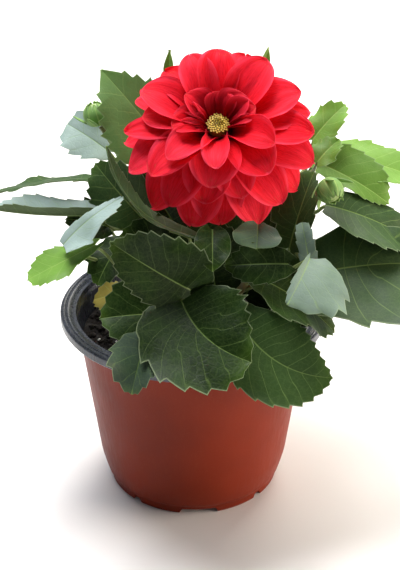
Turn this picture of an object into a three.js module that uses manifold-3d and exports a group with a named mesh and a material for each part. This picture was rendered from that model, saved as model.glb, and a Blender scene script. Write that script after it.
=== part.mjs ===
// A potted bedding dahlia: a thermoformed nursery pot, its potting mix, seven leafy stems that stand in the
// mix, a yellowed leaf that lies on it, and one open double bloom that leans towards the viewer.
// Millimetres, +Z up, origin at the centre of the pot's foot. The bloom looks along -Y and up.
import * as THREE from "three";
import { mergeVertices } from "three/addons/utils/BufferGeometryUtils.js";
import Module from "manifold-3d";

const wasm = await Module();
wasm.setup();

// Driving dimensions of the pot.
const POT_HEIGHT = 95;
const RIM_RADIUS = 65;
const LIP_SKIRT = 4.6;
const LIP_INNER_RADIUS = 59;
const NECK_RADIUS = 57.2;
const WAIST_RADIUS = 47.4;
const WAIST_HEIGHT = 18;
const STEP_RADIUS = 44.4;
const STEP_HEIGHT = 6;
const FOOT_RADIUS = 42.6;
const FOOT_WIDTH = 3;
const FLOOR_HEIGHT = 4;
const PAD_RADIUS = 9;
const WALL = 1.2;
const POT_SIDES = 28;
const NOTCH_PAIRS = 4;
const WIDE_NOTCH = 17;
const SMALL_NOTCH = 4;
const NOTCH_HEIGHT = 2.6;
const NOTCH_TURN = 3.7;
const DRAIN_HOLES = 8;
const DRAIN_RADIUS = 3.5;
const DRAIN_RING = 29;

// Driving dimensions of the potting mix, and the gap between touching pieces.
const SOIL_EDGE = 80;
const SOIL_MOUND = 4;
const SOIL_LUMP = 1;
const SOIL_RINGS = 3;
const GAP = 0.3;
const STEM_HOLE_MARGIN = 0.75;

// Driving dimensions of stems, petioles and leaves.
const STEM_SIDES = 6;
const PETIOLE_RADIUS = 1.35;
const PETIOLE_TIP_RADIUS = 0.7;
const PETIOLE_SIDES = 3;
const KEEL_DEPTH = 1.1;
const BLADE_THICKNESS = 0.85;
const TOOTH_DEPTH = 0.075;
const TOOTH_LEAN = 0.035;

// Driving dimensions of the bloom. Its axis leans from upright towards -Y.
const BLOOM_TOP = [11.5, -8, 194.5];
const BLOOM_LEAN = 33;
const DISC_RADIUS = 5.8;
const DISC_HEIGHT = 3.4;
const CORE_RADIUS = 6.8;
const CORE_DEPTH = 12;
const CALYX_DEPTH = 8;
const PETAL_THICKNESS = 0.75;
const SLIVER = 0.11;
const PETAL_FULLNESS = 1.1;
const PETAL_ROOT = 3.4;

const vec = (p) => new THREE.Vector3(...p);
const radians = THREE.MathUtils.degToRad;
const lerp = THREE.MathUtils.lerp;

// A closed geometry as a solid that can be cut and joined.
function solidOf(geometry) {
  const bare = geometry.clone();
  bare.deleteAttribute("normal");
  bare.deleteAttribute("uv");
  const merged = mergeVertices(bare, 1e-3);
  return new wasm.Manifold(
    new wasm.Mesh({
      numProp: 3,
      vertProperties: merged.attributes.position.array,
      triVerts: new Uint32Array(merged.index.array),
    }),
  );
}

// A solid's faces as a geometry with flat shading.
function geometryOf(solid) {
  const mesh = solid.getMesh();
  const geometry = new THREE.BufferGeometry();
  geometry.setAttribute("position", new THREE.BufferAttribute(mesh.vertProperties, 3));
  geometry.setIndex(new THREE.BufferAttribute(mesh.triVerts, 1));
  const flat = geometry.toNonIndexed();
  flat.computeVertexNormals();
  return flat;
}

// The solid's largest body, without a scrap or a sealed hollow that joining or cutting has left.
function largest(solid) {
  return solid.decompose().sort((a, b) => b.volume() - a.volume())[0];
}

// All solids of a list in one.
function joined(solids) {
  return solids.reduce((whole, solid) => whole.add(solid));
}

// A joined solid without the slivers along its seams.
function trimmed(solid) {
  return largest(solid.asOriginal().simplify(SLIVER));
}

// A closed slab between two grids of points. Both faces are split along the same diagonals.
function slab(top, bottom) {
  const rows = top.length;
  const columns = top[0].length;
  const positions = [top, bottom].flat(2).flatMap((p) => [p.x, p.y, p.z]);
  const at = (side, i, j) => (side * rows + i) * columns + j;
  const index = [];
  const quad = (a, b, c, d) => index.push(a, b, c, a, c, d);
  for (let i = 0; i + 1 < rows; i++) {
    for (let j = 0; j + 1 < columns; j++) {
      index.push(at(0, i, j), at(0, i + 1, j), at(0, i + 1, j + 1));
      index.push(at(0, i, j), at(0, i + 1, j + 1), at(0, i, j + 1));
      index.push(at(1, i, j), at(1, i + 1, j + 1), at(1, i + 1, j));
      index.push(at(1, i, j), at(1, i, j + 1), at(1, i + 1, j + 1));
    }
  }
  const right = columns - 1;
  for (let i = 0; i + 1 < rows; i++) {
    quad(at(0, i, 0), at(1, i, 0), at(1, i + 1, 0), at(0, i + 1, 0));
    quad(at(0, i + 1, right), at(1, i + 1, right), at(1, i, right), at(0, i, right));
  }
  const last = rows - 1;
  for (let j = 0; j + 1 < columns; j++) {
    quad(at(0, 0, j + 1), at(1, 0, j + 1), at(1, 0, j), at(0, 0, j));
    quad(at(0, last, j), at(1, last, j), at(1, last, j + 1), at(0, last, j + 1));
  }
  const geometry = new THREE.BufferGeometry();
  geometry.setAttribute("position", new THREE.Float32BufferAttribute(positions, 3));
  geometry.setIndex(index);
  return geometry;
}

// A closed slab of even thickness round a surface given by rows of [u, x] points.
// surface(u, x) returns a point, and the faces lie half the thickness to each side of it.
// keel(u, x) is how much deeper the lower face lies there, for a raised midrib.
function sheet(surface, rows, thickness, keel = () => 0) {
  const step = 0.01;
  const top = [];
  const bottom = [];
  for (const row of rows) {
    const above = [];
    const below = [];
    for (const [u, x] of row) {
      const p = surface(u, x);
      const along = surface(u + step, x).sub(surface(u - step, x));
      const across = surface(u, x + step).sub(surface(u, x - step));
      const offset = along.cross(across).normalize().multiplyScalar(thickness / 2);
      above.push(p.clone().add(offset));
      const deeper = (2 * keel(u, x)) / thickness;
      below.push(p.clone().addScaledVector(offset, -1 - deeper));
    }
    top.push(above);
    bottom.push(below);
  }
  return slab(top, bottom);
}

// A closed tube along a smooth curve, with its radius as a function of the share of the length.
function tube(points, radiusAt, sides, steps) {
  const curve = new THREE.CatmullRomCurve3(points, false, "centripetal");
  const section = new THREE.Shape();
  for (let k = 0; k < sides; k++) {
    const angle = (2 * Math.PI * k) / sides;
    const [x, y] = [Math.cos(angle), Math.sin(angle)];
    if (k === 0) section.moveTo(x, y);
    else section.lineTo(x, y);
  }
  section.closePath();
  const geometry = new THREE.ExtrudeGeometry(section, { steps, extrudePath: curve, bevelEnabled: false });
  const centres = curve.getSpacedPoints(steps);
  const position = geometry.attributes.position;
  for (let i = 0; i < position.count; i++) {
    const p = new THREE.Vector3().fromBufferAttribute(position, i);
    const distances = centres.map((c) => c.distanceToSquared(p));
    const nearest = distances.indexOf(Math.min(...distances));
    p.sub(centres[nearest]).multiplyScalar(radiusAt(nearest / steps)).add(centres[nearest]);
    position.setXYZ(i, p.x, p.y, p.z);
  }
  return geometry;
}

// The leafy stems. path and base, tip, face are in millimetres: a leaf runs from its base to its tip with
// its upper side towards face, and from is the share of the stem where its stalk leaves.
const STEMS = {
  flowering_stem: {
    radius: 2.7,
    flowers: true,
    path: [[0, 2, 68], [0, 2, 80], [0, 2, 91], [2, 1, 110], [5, 3, 140], [10, 9, 163], [11.5, 5, 173.9]],
    leaves: [
      { from: 0.7, base: [-11, 28, 163.5], tip: [-44, 40, 201.5], face: [0.2, -0.85, 0.45], width: 41,
        blunt: 0.35, taper: 1.05, halves: [0.62, 1], fine: true },
      { from: 0.5, base: [-2, -19, 142.5], tip: [-39.5, -7.5, 182.5], face: [0.78, -0.1, 0.62],
        width: 18, arch: -0.17, fold: 12, halves: [0.75, 0.5] },
      { from: 0.66, base: [-9, 35.5, 181.5], tip: [-11, 40.5, 211.5], face: [-0.4, -0.6, 0.5],
        width: 7.5 },
      { from: 0.66, base: [24, 35.5, 181], tip: [36, 40, 213], face: [0.4, -0.6, 0.5], width: 8.5 },
      { from: 0.35, base: [-10, -12, 128], tip: [-34, -18, 142], face: [-0.2, -0.7, 0.7], width: 30,
        teeth: 3 },
      { from: 0.25, base: [11, -12, 109], tip: [5, -10, 149], face: [0, -0.85, 0.5], width: 37,
        teeth: 3 },
      { from: 0.45, base: [20, -8, 132], tip: [27, -5, 157], face: [0.1, -0.9, 0.4], width: 31 },
      { from: 0.5, base: [-6, 9, 130], tip: [-26.5, 17, 165.5], face: [-0.3, -0.85, 0.45], width: 28,
        lobes: 0, blunt: 0.4, taper: 1.4, halves: [0.85, 0.62], teeth: 3 },
    ],
  },
  left_stem: {
    radius: 2.2,
    path: [
      [-12, 6, 68], [-12, 6, 80], [-12, 6, 91], [-22, 12, 112],
      [-35.5, 34, 158], [-42.5, 41, 165.5], [-47, 42, 171],
    ],
    bud: { at: [-48.2, 42.5, 176.5], axis: [-0.25, 0.05, 1], radius: 6 },
    leaves: [
      { from: 0.45, base: [-24, 2, 141], tip: [-46.5, 12.5, 165], face: [-0.35, -0.75, 0.55],
        width: 30, fine: true },
      { from: 0.72, base: [-51, 15, 156], tip: [-98, 17, 146], face: [-0.05, 0.31, 0.92], width: 24,
        arch: 0.04, fold: 4, droop: 0.05, wave: 0.7 },
      { from: 0.55, base: [-46.5, 0.5, 144.5], tip: [-97.5, -7, 151], face: [-0.1, 0.2, 0.97],
        width: 18, arch: -0.03, fold: 44 },
      { from: 0.4, base: [-40.5, 4, 135.5], tip: [-61, 6, 138.5], face: [0.1, -0.5, 0.85], width: 22 },
      { from: 0.35, base: [-58.5, -28, 138.5], tip: [-32, -14.5, 160], face: [-0.55, -0.5, 0.65],
        width: 19, lobes: 0, blunt: 0.4, taper: 0.9, halves: [1.4, 0.45] },
      { from: 0.3, base: [-44.5, -20, 137.5], tip: [-75, -30, 124], face: [-0.2, 0.1, 0.95], width: 24,
        arch: 0, fold: 4, taper: 0.55 },
      { from: 0.32, base: [-34, -8, 133], tip: [-45, -21, 117], face: [-0.3, -0.5, 0.8], width: 20 },
    ],
  },
  right_stem: {
    radius: 2.2,
    path: [
      [14, 4, 68], [14, 4, 80], [14, 4, 91], [26, 2, 108],
      [48, -1, 134], [61, -2, 160], [64, -4, 163],
    ],
    bud: { at: [64, -5, 159], axis: [0.3, -0.6, -0.35], radius: 6 },
    leaves: [
      { from: 0.6, base: [65, -15, 122], tip: [114, -7, 121], face: [0.05, -0.6, 0.8], width: 52,
        lobes: 0.16, halves: [1.28, 0.86], fine: true },
      { from: 0.8, base: [63, 2, 148], tip: [109, 6, 124], face: [0.1, -0.4, 0.9], width: 42,
        lobes: 0.02, halves: [0.95, 0.64], fine: true },
      { from: 0.5, base: [45.5, -12, 132.5], tip: [57.5, 8, 163], face: [-0.3, -0.8, 0.5], width: 42,
        blunt: 0.3, halves: [0.32, 1.1] },
      { from: 0.62, base: [54, -36, 138], tip: [48.5, -31, 155], face: [-0.5, -0.7, 0.5], width: 8,
        blunt: 0.2, taper: 0.35, entire: true },
      { from: 0.28, base: [25, -5.5, 102], tip: [34, -9.5, 129], face: [0.1, -0.85, 0.5], width: 34,
        teeth: 3 },
      { from: 0.4, base: [38.5, -7, 101], tip: [56, -10, 111], face: [0.2, -0.7, 0.7], width: 30,
        teeth: 3 },
    ],
  },
  front_left_stem: {
    radius: 2,
    path: [[-8, -14, 68], [-8, -14, 80], [-8, -14, 91], [-7, -26, 110], [-5, -34, 130]],
    leaves: [
      { from: 0.9, base: [-1, -44, 127.5], tip: [-36.5, -50, 155], face: [-0.15, -0.9, 0.35],
        width: 42, blunt: 0.42, halves: [1, 0.72], fine: true },
      { from: 0.8, base: [-5, -49, 124.5], tip: [26, -74, 107.5], face: [0, -0.8, 0.6], width: 54,
        arch: 0.04, sway: -0.12, lobes: 0.1, blunt: 0.22, taper: 0.85, halves: [1.05, 0.95],
        fine: true, teeth: 5 },
      { from: 0.75, base: [-10, -44, 115], tip: [-42, -52, 117], face: [-0.1, -0.72, 0.7], width: 37,
        teeth: 5 },
      { from: 0.6, base: [-21, -61.5, 111], tip: [-27, -79.5, 94], face: [-0.2, -0.85, 0.4], width: 27,
        fold: 24, halves: [1, 0.72] },
      { from: 0.95, base: [9, -32, 152], tip: [9, -48, 139], face: [0, -0.6, 0.8], width: 17,
        entire: true },
    ],
  },
  front_right_stem: {
    radius: 2,
    path: [[12, -12, 68], [12, -12, 80], [12, -12, 91], [18, -22, 108], [28, -28, 128]],
    leaves: [
      { from: 0.7, base: [21.5, -45, 111.5], tip: [64, -58.5, 89.5], face: [0.1, -0.85, 0.5],
        width: 41, arch: 0.04, sway: -0.14, fine: true, teeth: 5 },
      { from: 0.8, base: [32, -24, 122], tip: [66.5, -32, 98], face: [0.5, -0.3, 0.8], width: 36,
        halves: [1.35, 1] },
      { from: 0.9, base: [53, -40, 141.5], tip: [42, -64, 131], face: [0.2, -0.75, 0.65], width: 48,
        taper: 0.88, halves: [0.14, 1.02], fine: true },
      { from: 0.95, base: [43.5, -36, 136.5], tip: [14.5, -36, 135.5], face: [0, -0.75, 0.6], width: 19 },
      { from: 0.97, base: [30, -24, 150.5], tip: [29, -36, 144.5], face: [0, -0.6, 0.8], width: 22.5,
        taper: 0.45, entire: true },
    ],
  },
  back_stem: {
    radius: 2.2,
    path: [[0, 18, 68], [0, 18, 80], [0, 18, 91], [-6, 30, 112], [-14, 40, 140]],
    leaves: [
      { from: 0.8, base: [-42, 55, 152], tip: [-63.5, 62, 164.5], face: [-0.2, -0.6, 0.75], width: 25,
        blunt: 0.6, taper: 0.6 },
      { from: 0.9, base: [-14.5, 69, 157.5], tip: [-20, 94, 160], face: [0, 0.3, 0.9], width: 40 },
      { from: 0.6, base: [10, 54, 129], tip: [22, 81, 115.5], face: [0, 0.7, 0.7], width: 42 },
      { from: 0.5, base: [-30, 46, 118], tip: [-46, 72, 98], face: [-0.3, 0.7, 0.6], width: 38 },
      { from: 0.95, base: [4, 52, 166], tip: [24, 84, 172], face: [0.1, 0.2, 0.95], width: 34 },
    ],
  },
  back_right_stem: {
    radius: 2,
    path: [[12, 16, 68], [12, 16, 80], [12, 16, 91], [26, 24, 112], [42, 26, 138], [54, 22, 156]],
    leaves: [
      { from: 0.9, base: [59.5, 23.5, 160.5], tip: [94.5, 12.5, 143.5], face: [0.1, -0.55, 0.83],
        width: 35, halves: [0.46, 0.98], fine: true },
      { from: 0.85, base: [67, 38.5, 156], tip: [117, 42, 140.5], face: [0.15, -0.25, 0.95], width: 42,
        lobes: 0.02, halves: [1, 0.82] },
      { from: 0.98, base: [57.5, 25.5, 171.5], tip: [73.5, 34.5, 186], face: [-0.3, -0.6, 0.7],
        width: 18 },
      { from: 0.96, base: [58.5, 7, 168], tip: [69, 14.5, 176], face: [-0.3, -0.6, 0.7], width: 15 },
      { from: 0.5, base: [44, 48, 134], tip: [64, 80, 118], face: [0.3, 0.6, 0.7], width: 40 },
    ],
  },
};

// A withered leaf low on the left stem, over the potting mix.
const YELLOWED = { from: 0.2, base: [-33, 10, 94], tip: [-50, 19, 87], face: [0.1, -0.5, 0.85], width: 16 };

// Petals from the middle outwards: azimuth about the bloom's axis from its right, elevation, reach from the
// middle, width, cup and roll. Those at the back stand up, those in front lie lower, and the last hang down.
const PETALS = [
  [-93, 17, 29, 13, 74],
  [-32, 18, 31, 18, 74, 14],
  [13, 30, 20, 16, 78, 12],
  [-137, 12, 32, 18, 62, 8],
  [144, 30, 21, 16, 60, 8],
  [-166, 20, 23, 17, 62, 6],
  [41, 30, 19, 17, 62, -6],
  [84, 34, 16, 15, 58],
  [-97, -3, 32, 23, 50],
  [-49, 3, 35, 22, 52, 10],
  [-140, -1, 40, 21, 50, 8],
  [49, 24, 38, 20, 46, 8],
  [89, 21, 37, 20, 44, 4],
  [112, 19, 37, 18, 46, -4],
  [157, 13, 39, 21, 44, 6],
  [173, 5, 35, 19, 46, 6],
  [19, 14, 41, 20, 44, 8],
  [-7, 4, 44, 20, 42, 10],
  [70, 10, 39, 19, 42, 6],
  [131, 7, 38, 20, 42, 6],
  [-178, -2, 43, 15, 44, 6],
  [9, 4, 43, 17, 40, 8],
  [-18, -10, 47, 21, 42, 10],
  [-156, -11, 46, 20, 46, 8],
  [-125, -21, 43, 22, 48, 6],
  [-100, -17, 37, 21, 46, 4],
  [-71, -14, 36, 22, 46, 4],
  [-46, -21, 46, 22, 46, 8],
  [-109, -37, 48, 23, 42, 4],
  [-88, -39, 46, 24, 40, 4],
  [-61, -37, 50, 24, 40, 6],
  [-141, -36, 50, 22, 44, 6],
  [-28, -28, 48, 19, 44, 8],
  [178, -18, 46, 18, 42, 6],
  [30, -12, 45, 19, 42, 8],
  [0, -36, 45, 18, 40, 6],
  [86, -9, 43, 20, 42, 6],
  [116, -13, 44, 20, 42, 6],
  [148, -11, 45, 19, 42, 6],
  [40, -34, 43, 19, 40, 6],
  [78, -34, 43, 19, 40, 6],
  [130, -36, 44, 20, 40, 6],
];
const FLORETS = 14;

// A round hole's cutter or a peg, with its foot at a point and its axis upright.
function post(x, y, low, high, radius, sides) {
  const geometry = new THREE.CylinderGeometry(radius, radius, high - low, sides);
  geometry.rotateX(Math.PI / 2);
  geometry.translate(x, y, (low + high) / 2);
  return geometry;
}

// A lathe about +Z from [radius, height] pairs that start and end on the axis.
function turned(profile, sides) {
  const geometry = new THREE.LatheGeometry(
    profile.map(([r, z]) => new THREE.Vector2(r, z)),
    sides,
  );
  return geometry.rotateX(Math.PI / 2);
}

// A geometry built about +Z, turned so that +Z lies along an axis, and moved to a point.
function placed(geometry, point, axis) {
  const turn = new THREE.Quaternion().setFromUnitVectors(new THREE.Vector3(0, 0, 1), axis);
  return geometry.applyQuaternion(turn).translate(point.x, point.y, point.z);
}

// The pot: one wall from the foot to a rolled rim that turns out and down, four wide and four narrow
// notches in the foot ring, drain holes in the raised floor and a flat pad in the middle of the floor.
function pot() {
  const top = POT_HEIGHT;
  const profile = [
    [0, 0],
    [PAD_RADIUS, 0],
    [PAD_RADIUS + 2, FLOOR_HEIGHT],
    [FOOT_RADIUS - FOOT_WIDTH, FLOOR_HEIGHT],
    [FOOT_RADIUS - FOOT_WIDTH, 0],
    [FOOT_RADIUS, 0],
    [FOOT_RADIUS + 0.3, FLOOR_HEIGHT],
    [STEP_RADIUS, STEP_HEIGHT],
    [WAIST_RADIUS, WAIST_HEIGHT],
    [NECK_RADIUS, top - LIP_SKIRT],
    [NECK_RADIUS + 0.6, top - WALL - 0.4],
    [RIM_RADIUS - WALL, top - WALL - 0.4],
    [RIM_RADIUS - WALL, top - LIP_SKIRT],
    [RIM_RADIUS, top - LIP_SKIRT],
    [RIM_RADIUS, top - 1],
    [RIM_RADIUS - 1.6, top],
    [RIM_RADIUS - 3.2, top],
    [LIP_INNER_RADIUS, top - 0.9],
    [NECK_RADIUS - WALL + 0.9, top - 3],
    [NECK_RADIUS - WALL, top - LIP_SKIRT - 1],
    [WAIST_RADIUS - WALL, WAIST_HEIGHT],
    [STEP_RADIUS - WALL, STEP_HEIGHT + WALL],
    [FOOT_RADIUS - WALL, FLOOR_HEIGHT + WALL],
    [0, FLOOR_HEIGHT + WALL],
  ];
  let solid = solidOf(turned(profile, POT_SIDES));
  const cutters = [];
  for (let k = 0; k < NOTCH_PAIRS; k++) {
    for (const [offset, width] of [[0, WIDE_NOTCH], [0.5, SMALL_NOTCH]]) {
      const notch = new THREE.BoxGeometry(FOOT_WIDTH * 3, width, NOTCH_HEIGHT * 2);
      notch.translate(FOOT_RADIUS - FOOT_WIDTH / 2, 0, 0);
      notch.rotateZ(radians(-90 + NOTCH_TURN + ((k + offset) * 360) / NOTCH_PAIRS));
      cutters.push(solidOf(notch));
    }
  }
  for (let k = 0; k < DRAIN_HOLES; k++) {
    const angle = radians(((k + 0.5) * 360) / DRAIN_HOLES);
    const [x, y] = [DRAIN_RING * Math.cos(angle), DRAIN_RING * Math.sin(angle)];
    cutters.push(solidOf(post(x, y, 1, FLOOR_HEIGHT + 4, DRAIN_RADIUS, 10)));
  }
  for (const cutter of cutters) solid = solid.subtract(cutter);
  return solid;
}

// Height of the potting mix at a point: a low mound with crumbs.
function soilHeight(x, y) {
  const edge = soilRadius(SOIL_EDGE);
  const share = Math.min(1, Math.hypot(x, y) / edge);
  const crumbs = Math.sin(x * 0.53 + 1) * Math.sin(y * 0.61 + 2) + 0.6 * Math.sin(x * 0.23 - y * 0.31);
  return SOIL_EDGE + SOIL_MOUND * (1 - share * share) + SOIL_LUMP * crumbs * (1 - share ** 6);
}

// Radius of the potting mix at a height above the waist: the pot's inner wall less the gap.
function soilRadius(z) {
  const share = (z - WAIST_HEIGHT) / (POT_HEIGHT - LIP_SKIRT - 1 - WAIST_HEIGHT);
  return lerp(WAIST_RADIUS, NECK_RADIUS, share) - WALL - GAP;
}

// The potting mix fills the pot to below the rim and has a plain hole for each stem.
function pottingMix(stems) {
  const floor = FLOOR_HEIGHT + WALL + GAP;
  const edge = soilRadius(SOIL_EDGE);
  const profile = [
    [0, floor],
    [FOOT_RADIUS - WALL - 0.6, floor],
    [STEP_RADIUS - WALL - GAP * 1.4, STEP_HEIGHT + WALL + 0.2],
    [soilRadius(WAIST_HEIGHT), WAIST_HEIGHT],
    [edge, SOIL_EDGE],
  ];
  for (let k = 1; k < SOIL_RINGS; k++) profile.push([edge * (1 - k / SOIL_RINGS), SOIL_EDGE + 1]);
  profile.push([0, SOIL_EDGE + 1]);
  const geometry = turned(profile, POT_SIDES);
  const position = geometry.attributes.position;
  for (let i = 0; i < position.count; i++) {
    if (position.getZ(i) <= SOIL_EDGE) continue;
    position.setZ(i, soilHeight(position.getX(i), position.getY(i)));
  }
  let solid = solidOf(geometry);
  for (const { path, radius } of stems) {
    const [x, y, z] = path[0];
    solid = solid.subtract(solidOf(post(x, y, z - GAP, z + 40, radius + STEM_HOLE_MARGIN, 8)));
  }
  return trimmed(solid);
}

// A leaf blade's middle surface as a function of the share of its length and the distance from its midrib.
// arch lifts the middle of the midrib, fold lifts both halves, droop bends the margins down again.
function bladeSurface(leaf) {
  const { arch = 0.07, sway = 0, fold = 10, droop = 0.12, wave = 1.2 } = leaf;
  const base = vec(leaf.base);
  const tip = vec(leaf.tip);
  const axis = tip.clone().sub(base);
  const length = axis.length();
  const along = axis.clone().normalize();
  const up = vec(leaf.face).addScaledVector(along, -vec(leaf.face).dot(along)).normalize();
  const side = up.clone().cross(along);
  const bend = base.clone().add(tip).multiplyScalar(0.5);
  bend.addScaledVector(up, arch * length * 2).addScaledVector(side, sway * length * 2);
  const tilt = Math.sin(radians(fold));
  return (u, x) => {
    const middle = base
      .clone()
      .multiplyScalar((1 - u) ** 2)
      .addScaledVector(bend, 2 * u * (1 - u))
      .addScaledVector(tip, u * u);
    const t = bend.clone().sub(base).multiplyScalar(1 - u);
    t.addScaledVector(tip.clone().sub(bend), u).normalize();
    const s = up.clone().cross(t).normalize();
    const n = t.clone().cross(s);
    const share = x / (leaf.width / 2);
    const ripple = wave * share * share * Math.sin(3 * Math.PI * u + (x < 0 ? 1.9 : 0));
    const lift = Math.abs(x) * tilt - droop * x * share * Math.sign(x) + ripple;
    return middle.addScaledVector(s, x * Math.cos(radians(fold))).addScaledVector(n, lift);
  };
}

// Half a leaf's width at a share of its length, broadest at about two fifths.
function halfWidth(leaf, u) {
  const { blunt = 0.54, taper = 1.15 } = leaf;
  const widest = blunt / (blunt + taper);
  return (leaf.width / 2) * (u / widest) ** blunt * ((1 - u) / (1 - widest)) ** taper;
}

// Rows of [u, x] points over a blade: a narrow base, two lobes behind it, forward teeth and a tip.
function bladeRows(leaf) {
  const { teeth = 4, halves = [1, 1], lobes = 0.08, fine = false } = leaf;
  const shares = fine ? [-1, -0.5, 0, 0.5, 1] : [-1, 0, 1];
  const row = (u, half, shift) =>
    shares.map((v) => [u + shift * v * v, v * half * (v < 0 ? halves[0] : halves[1])]);
  const rows = [row(0, 1.2, 0), row(0.035, halfWidth(leaf, 0.04), -lobes)];
  const depth = TOOTH_DEPTH * leaf.width;
  for (let k = 0; k < teeth; k++) {
    const notch = lerp(0.13, 0.93, k / teeth);
    const point = lerp(0.13, 0.93, (k + 0.55) / teeth);
    rows.push(row(notch, halfWidth(leaf, notch) - depth * 0.4, -lobes * (0.5 - k / teeth)));
    rows.push(row(point, halfWidth(leaf, point) + depth * (0.75 - 0.5 * point), TOOTH_LEAN));
  }
  rows.push(row(1, 0.45, 0));
  return rows;
}

// A small entire leaf: no teeth and no lobes.
function entireRows(leaf) {
  const rows = [[0, 1.2]];
  for (const u of [0.12, 0.3, 0.5, 0.7, 0.87]) rows.push([u, halfWidth(leaf, u)]);
  rows.push([1, 0.8]);
  return rows.map(([u, half]) => [-1, -0.5, 0, 0.5, 1].map((v) => [u, v * half]));
}

// A leaf: the blade with its keel, and the stalk, which starts at a point of the stem and ends in the keel.
function leafSolid(leaf, root) {
  const surface = bladeSurface(leaf);
  const rows = leaf.entire ? entireRows(leaf) : bladeRows(leaf);
  const keel = (u, x) => (Math.abs(x) < 0.01 ? KEEL_DEPTH * (1 - u) : 0);
  const blade = solidOf(sheet(surface, rows, BLADE_THICKNESS, keel));
  const under = (u, depth) => {
    const p = surface(u, 0);
    const along = surface(u + 0.01, 0).sub(surface(u - 0.01, 0));
    const across = surface(u, 0.01).sub(surface(u, -0.01));
    return p.addScaledVector(along.cross(across).normalize(), -depth);
  };
  const base = under(0, 0.6);
  const reach = base.distanceTo(root);
  const below = under(0.1, 2).sub(under(0.1, 0)).normalize();
  const middle = root.clone().lerp(base, 0.6).addScaledVector(below, reach * 0.14);
  const points = [root, middle, base, under(0.14, 0.5)];
  const steps = Math.max(3, Math.round((reach + 6) / 12));
  const taper = (share) => lerp(PETIOLE_RADIUS, PETIOLE_TIP_RADIUS, share);
  const stalk = tube(points, taper, PETIOLE_SIDES, steps);
  return blade.add(solidOf(stalk));
}

// A closed bud: a ribbed ovoid with five small bracts that stand off its base.
function bud({ at, axis, radius }) {
  const up = vec(axis).normalize();
  const profile = [[0, -0.9], [0.45, -0.8], [0.86, -0.4], [1, 0], [0.88, 0.45], [0.5, 0.85], [0, 1.0]];
  const ball = turned(profile.map(([r, z]) => [r * radius, z * radius]), 10);
  const position = ball.attributes.position;
  for (let i = 0; i < position.count; i++) {
    const [x, y] = [position.getX(i), position.getY(i)];
    const rib = 1 + 0.06 * Math.cos(5 * Math.atan2(y, x));
    position.setXY(i, x * rib, y * rib);
  }
  const solids = [solidOf(placed(ball, vec(at), up))];
  const foot = vec(at).addScaledVector(up, -radius * 0.7);
  for (let k = 0; k < 5; k++) solids.push(bract(foot, up, k * 72, radius * 1.3, radius * 0.6, 40));
  return joined(solids);
}

// A narrow bract that leaves a point on an axis at an azimuth and bends outwards.
function bract(point, axis, azimuth, length, width, rise) {
  const turn = new THREE.Quaternion().setFromUnitVectors(new THREE.Vector3(0, 0, 1), axis);
  const angle = radians(azimuth);
  const out = new THREE.Vector3(Math.cos(angle), Math.sin(angle), 0).applyQuaternion(turn);
  const side = axis.clone().cross(out);
  const surface = (u, x) =>
    point
      .clone()
      .addScaledVector(out, 1 + length * u * Math.cos(radians(rise * (1 - u))))
      .addScaledVector(axis, length * u * Math.sin(radians(rise * (1 - u))))
      .addScaledVector(side, x);
  const rows = [[0, 0.5], [0.55, 1], [1, 0.2]].map(([u, half]) =>
    [-1, 0, 1].map((v) => [u, (v * half * width) / 2]),
  );
  return solidOf(sheet(surface, rows, PETAL_THICKNESS));
}

// The smooth line through a stem's points.
function stemCurve(stem) {
  return new THREE.CatmullRomCurve3(stem.path.map(vec), false, "centripetal");
}

// A stem's own tube, thicker all round by an extra.
function stemTube(stem, extra = 0) {
  const steps = Math.max(5, Math.round(stemCurve(stem).getLength() / 15));
  const taper = (share) => lerp(stem.radius, stem.radius * 0.72, share) + extra;
  return solidOf(tube(stem.path.map(vec), taper, STEM_SIDES, steps));
}

// A leafy stem: its tube, its leaves and its bud, fused where they grow from each other.
function leafyStem(stem) {
  const curve = stemCurve(stem);
  const solids = [stemTube(stem)];
  for (const leaf of stem.leaves) solids.push(leafSolid(leaf, curve.getPointAt(leaf.from)));
  if (stem.bud) solids.push(bud(stem.bud));
  return trimmed(joined(solids));
}

// The bloom's own frame: its axis, the direction to its right and the one up its far side.
const bloomAxis = new THREE.Vector3(0, -Math.sin(radians(BLOOM_LEAN)), Math.cos(radians(BLOOM_LEAN)));
const bloomRight = new THREE.Vector3(1, 0, 0);
const bloomBack = bloomAxis.clone().cross(bloomRight);
const bloomOrigin = vec(BLOOM_TOP).addScaledVector(bloomAxis, -DISC_HEIGHT);

// A lathe about the bloom's axis.
function bloomTurned(profile, sides) {
  return solidOf(placed(turned(profile, sides), bloomOrigin, bloomAxis));
}

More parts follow.
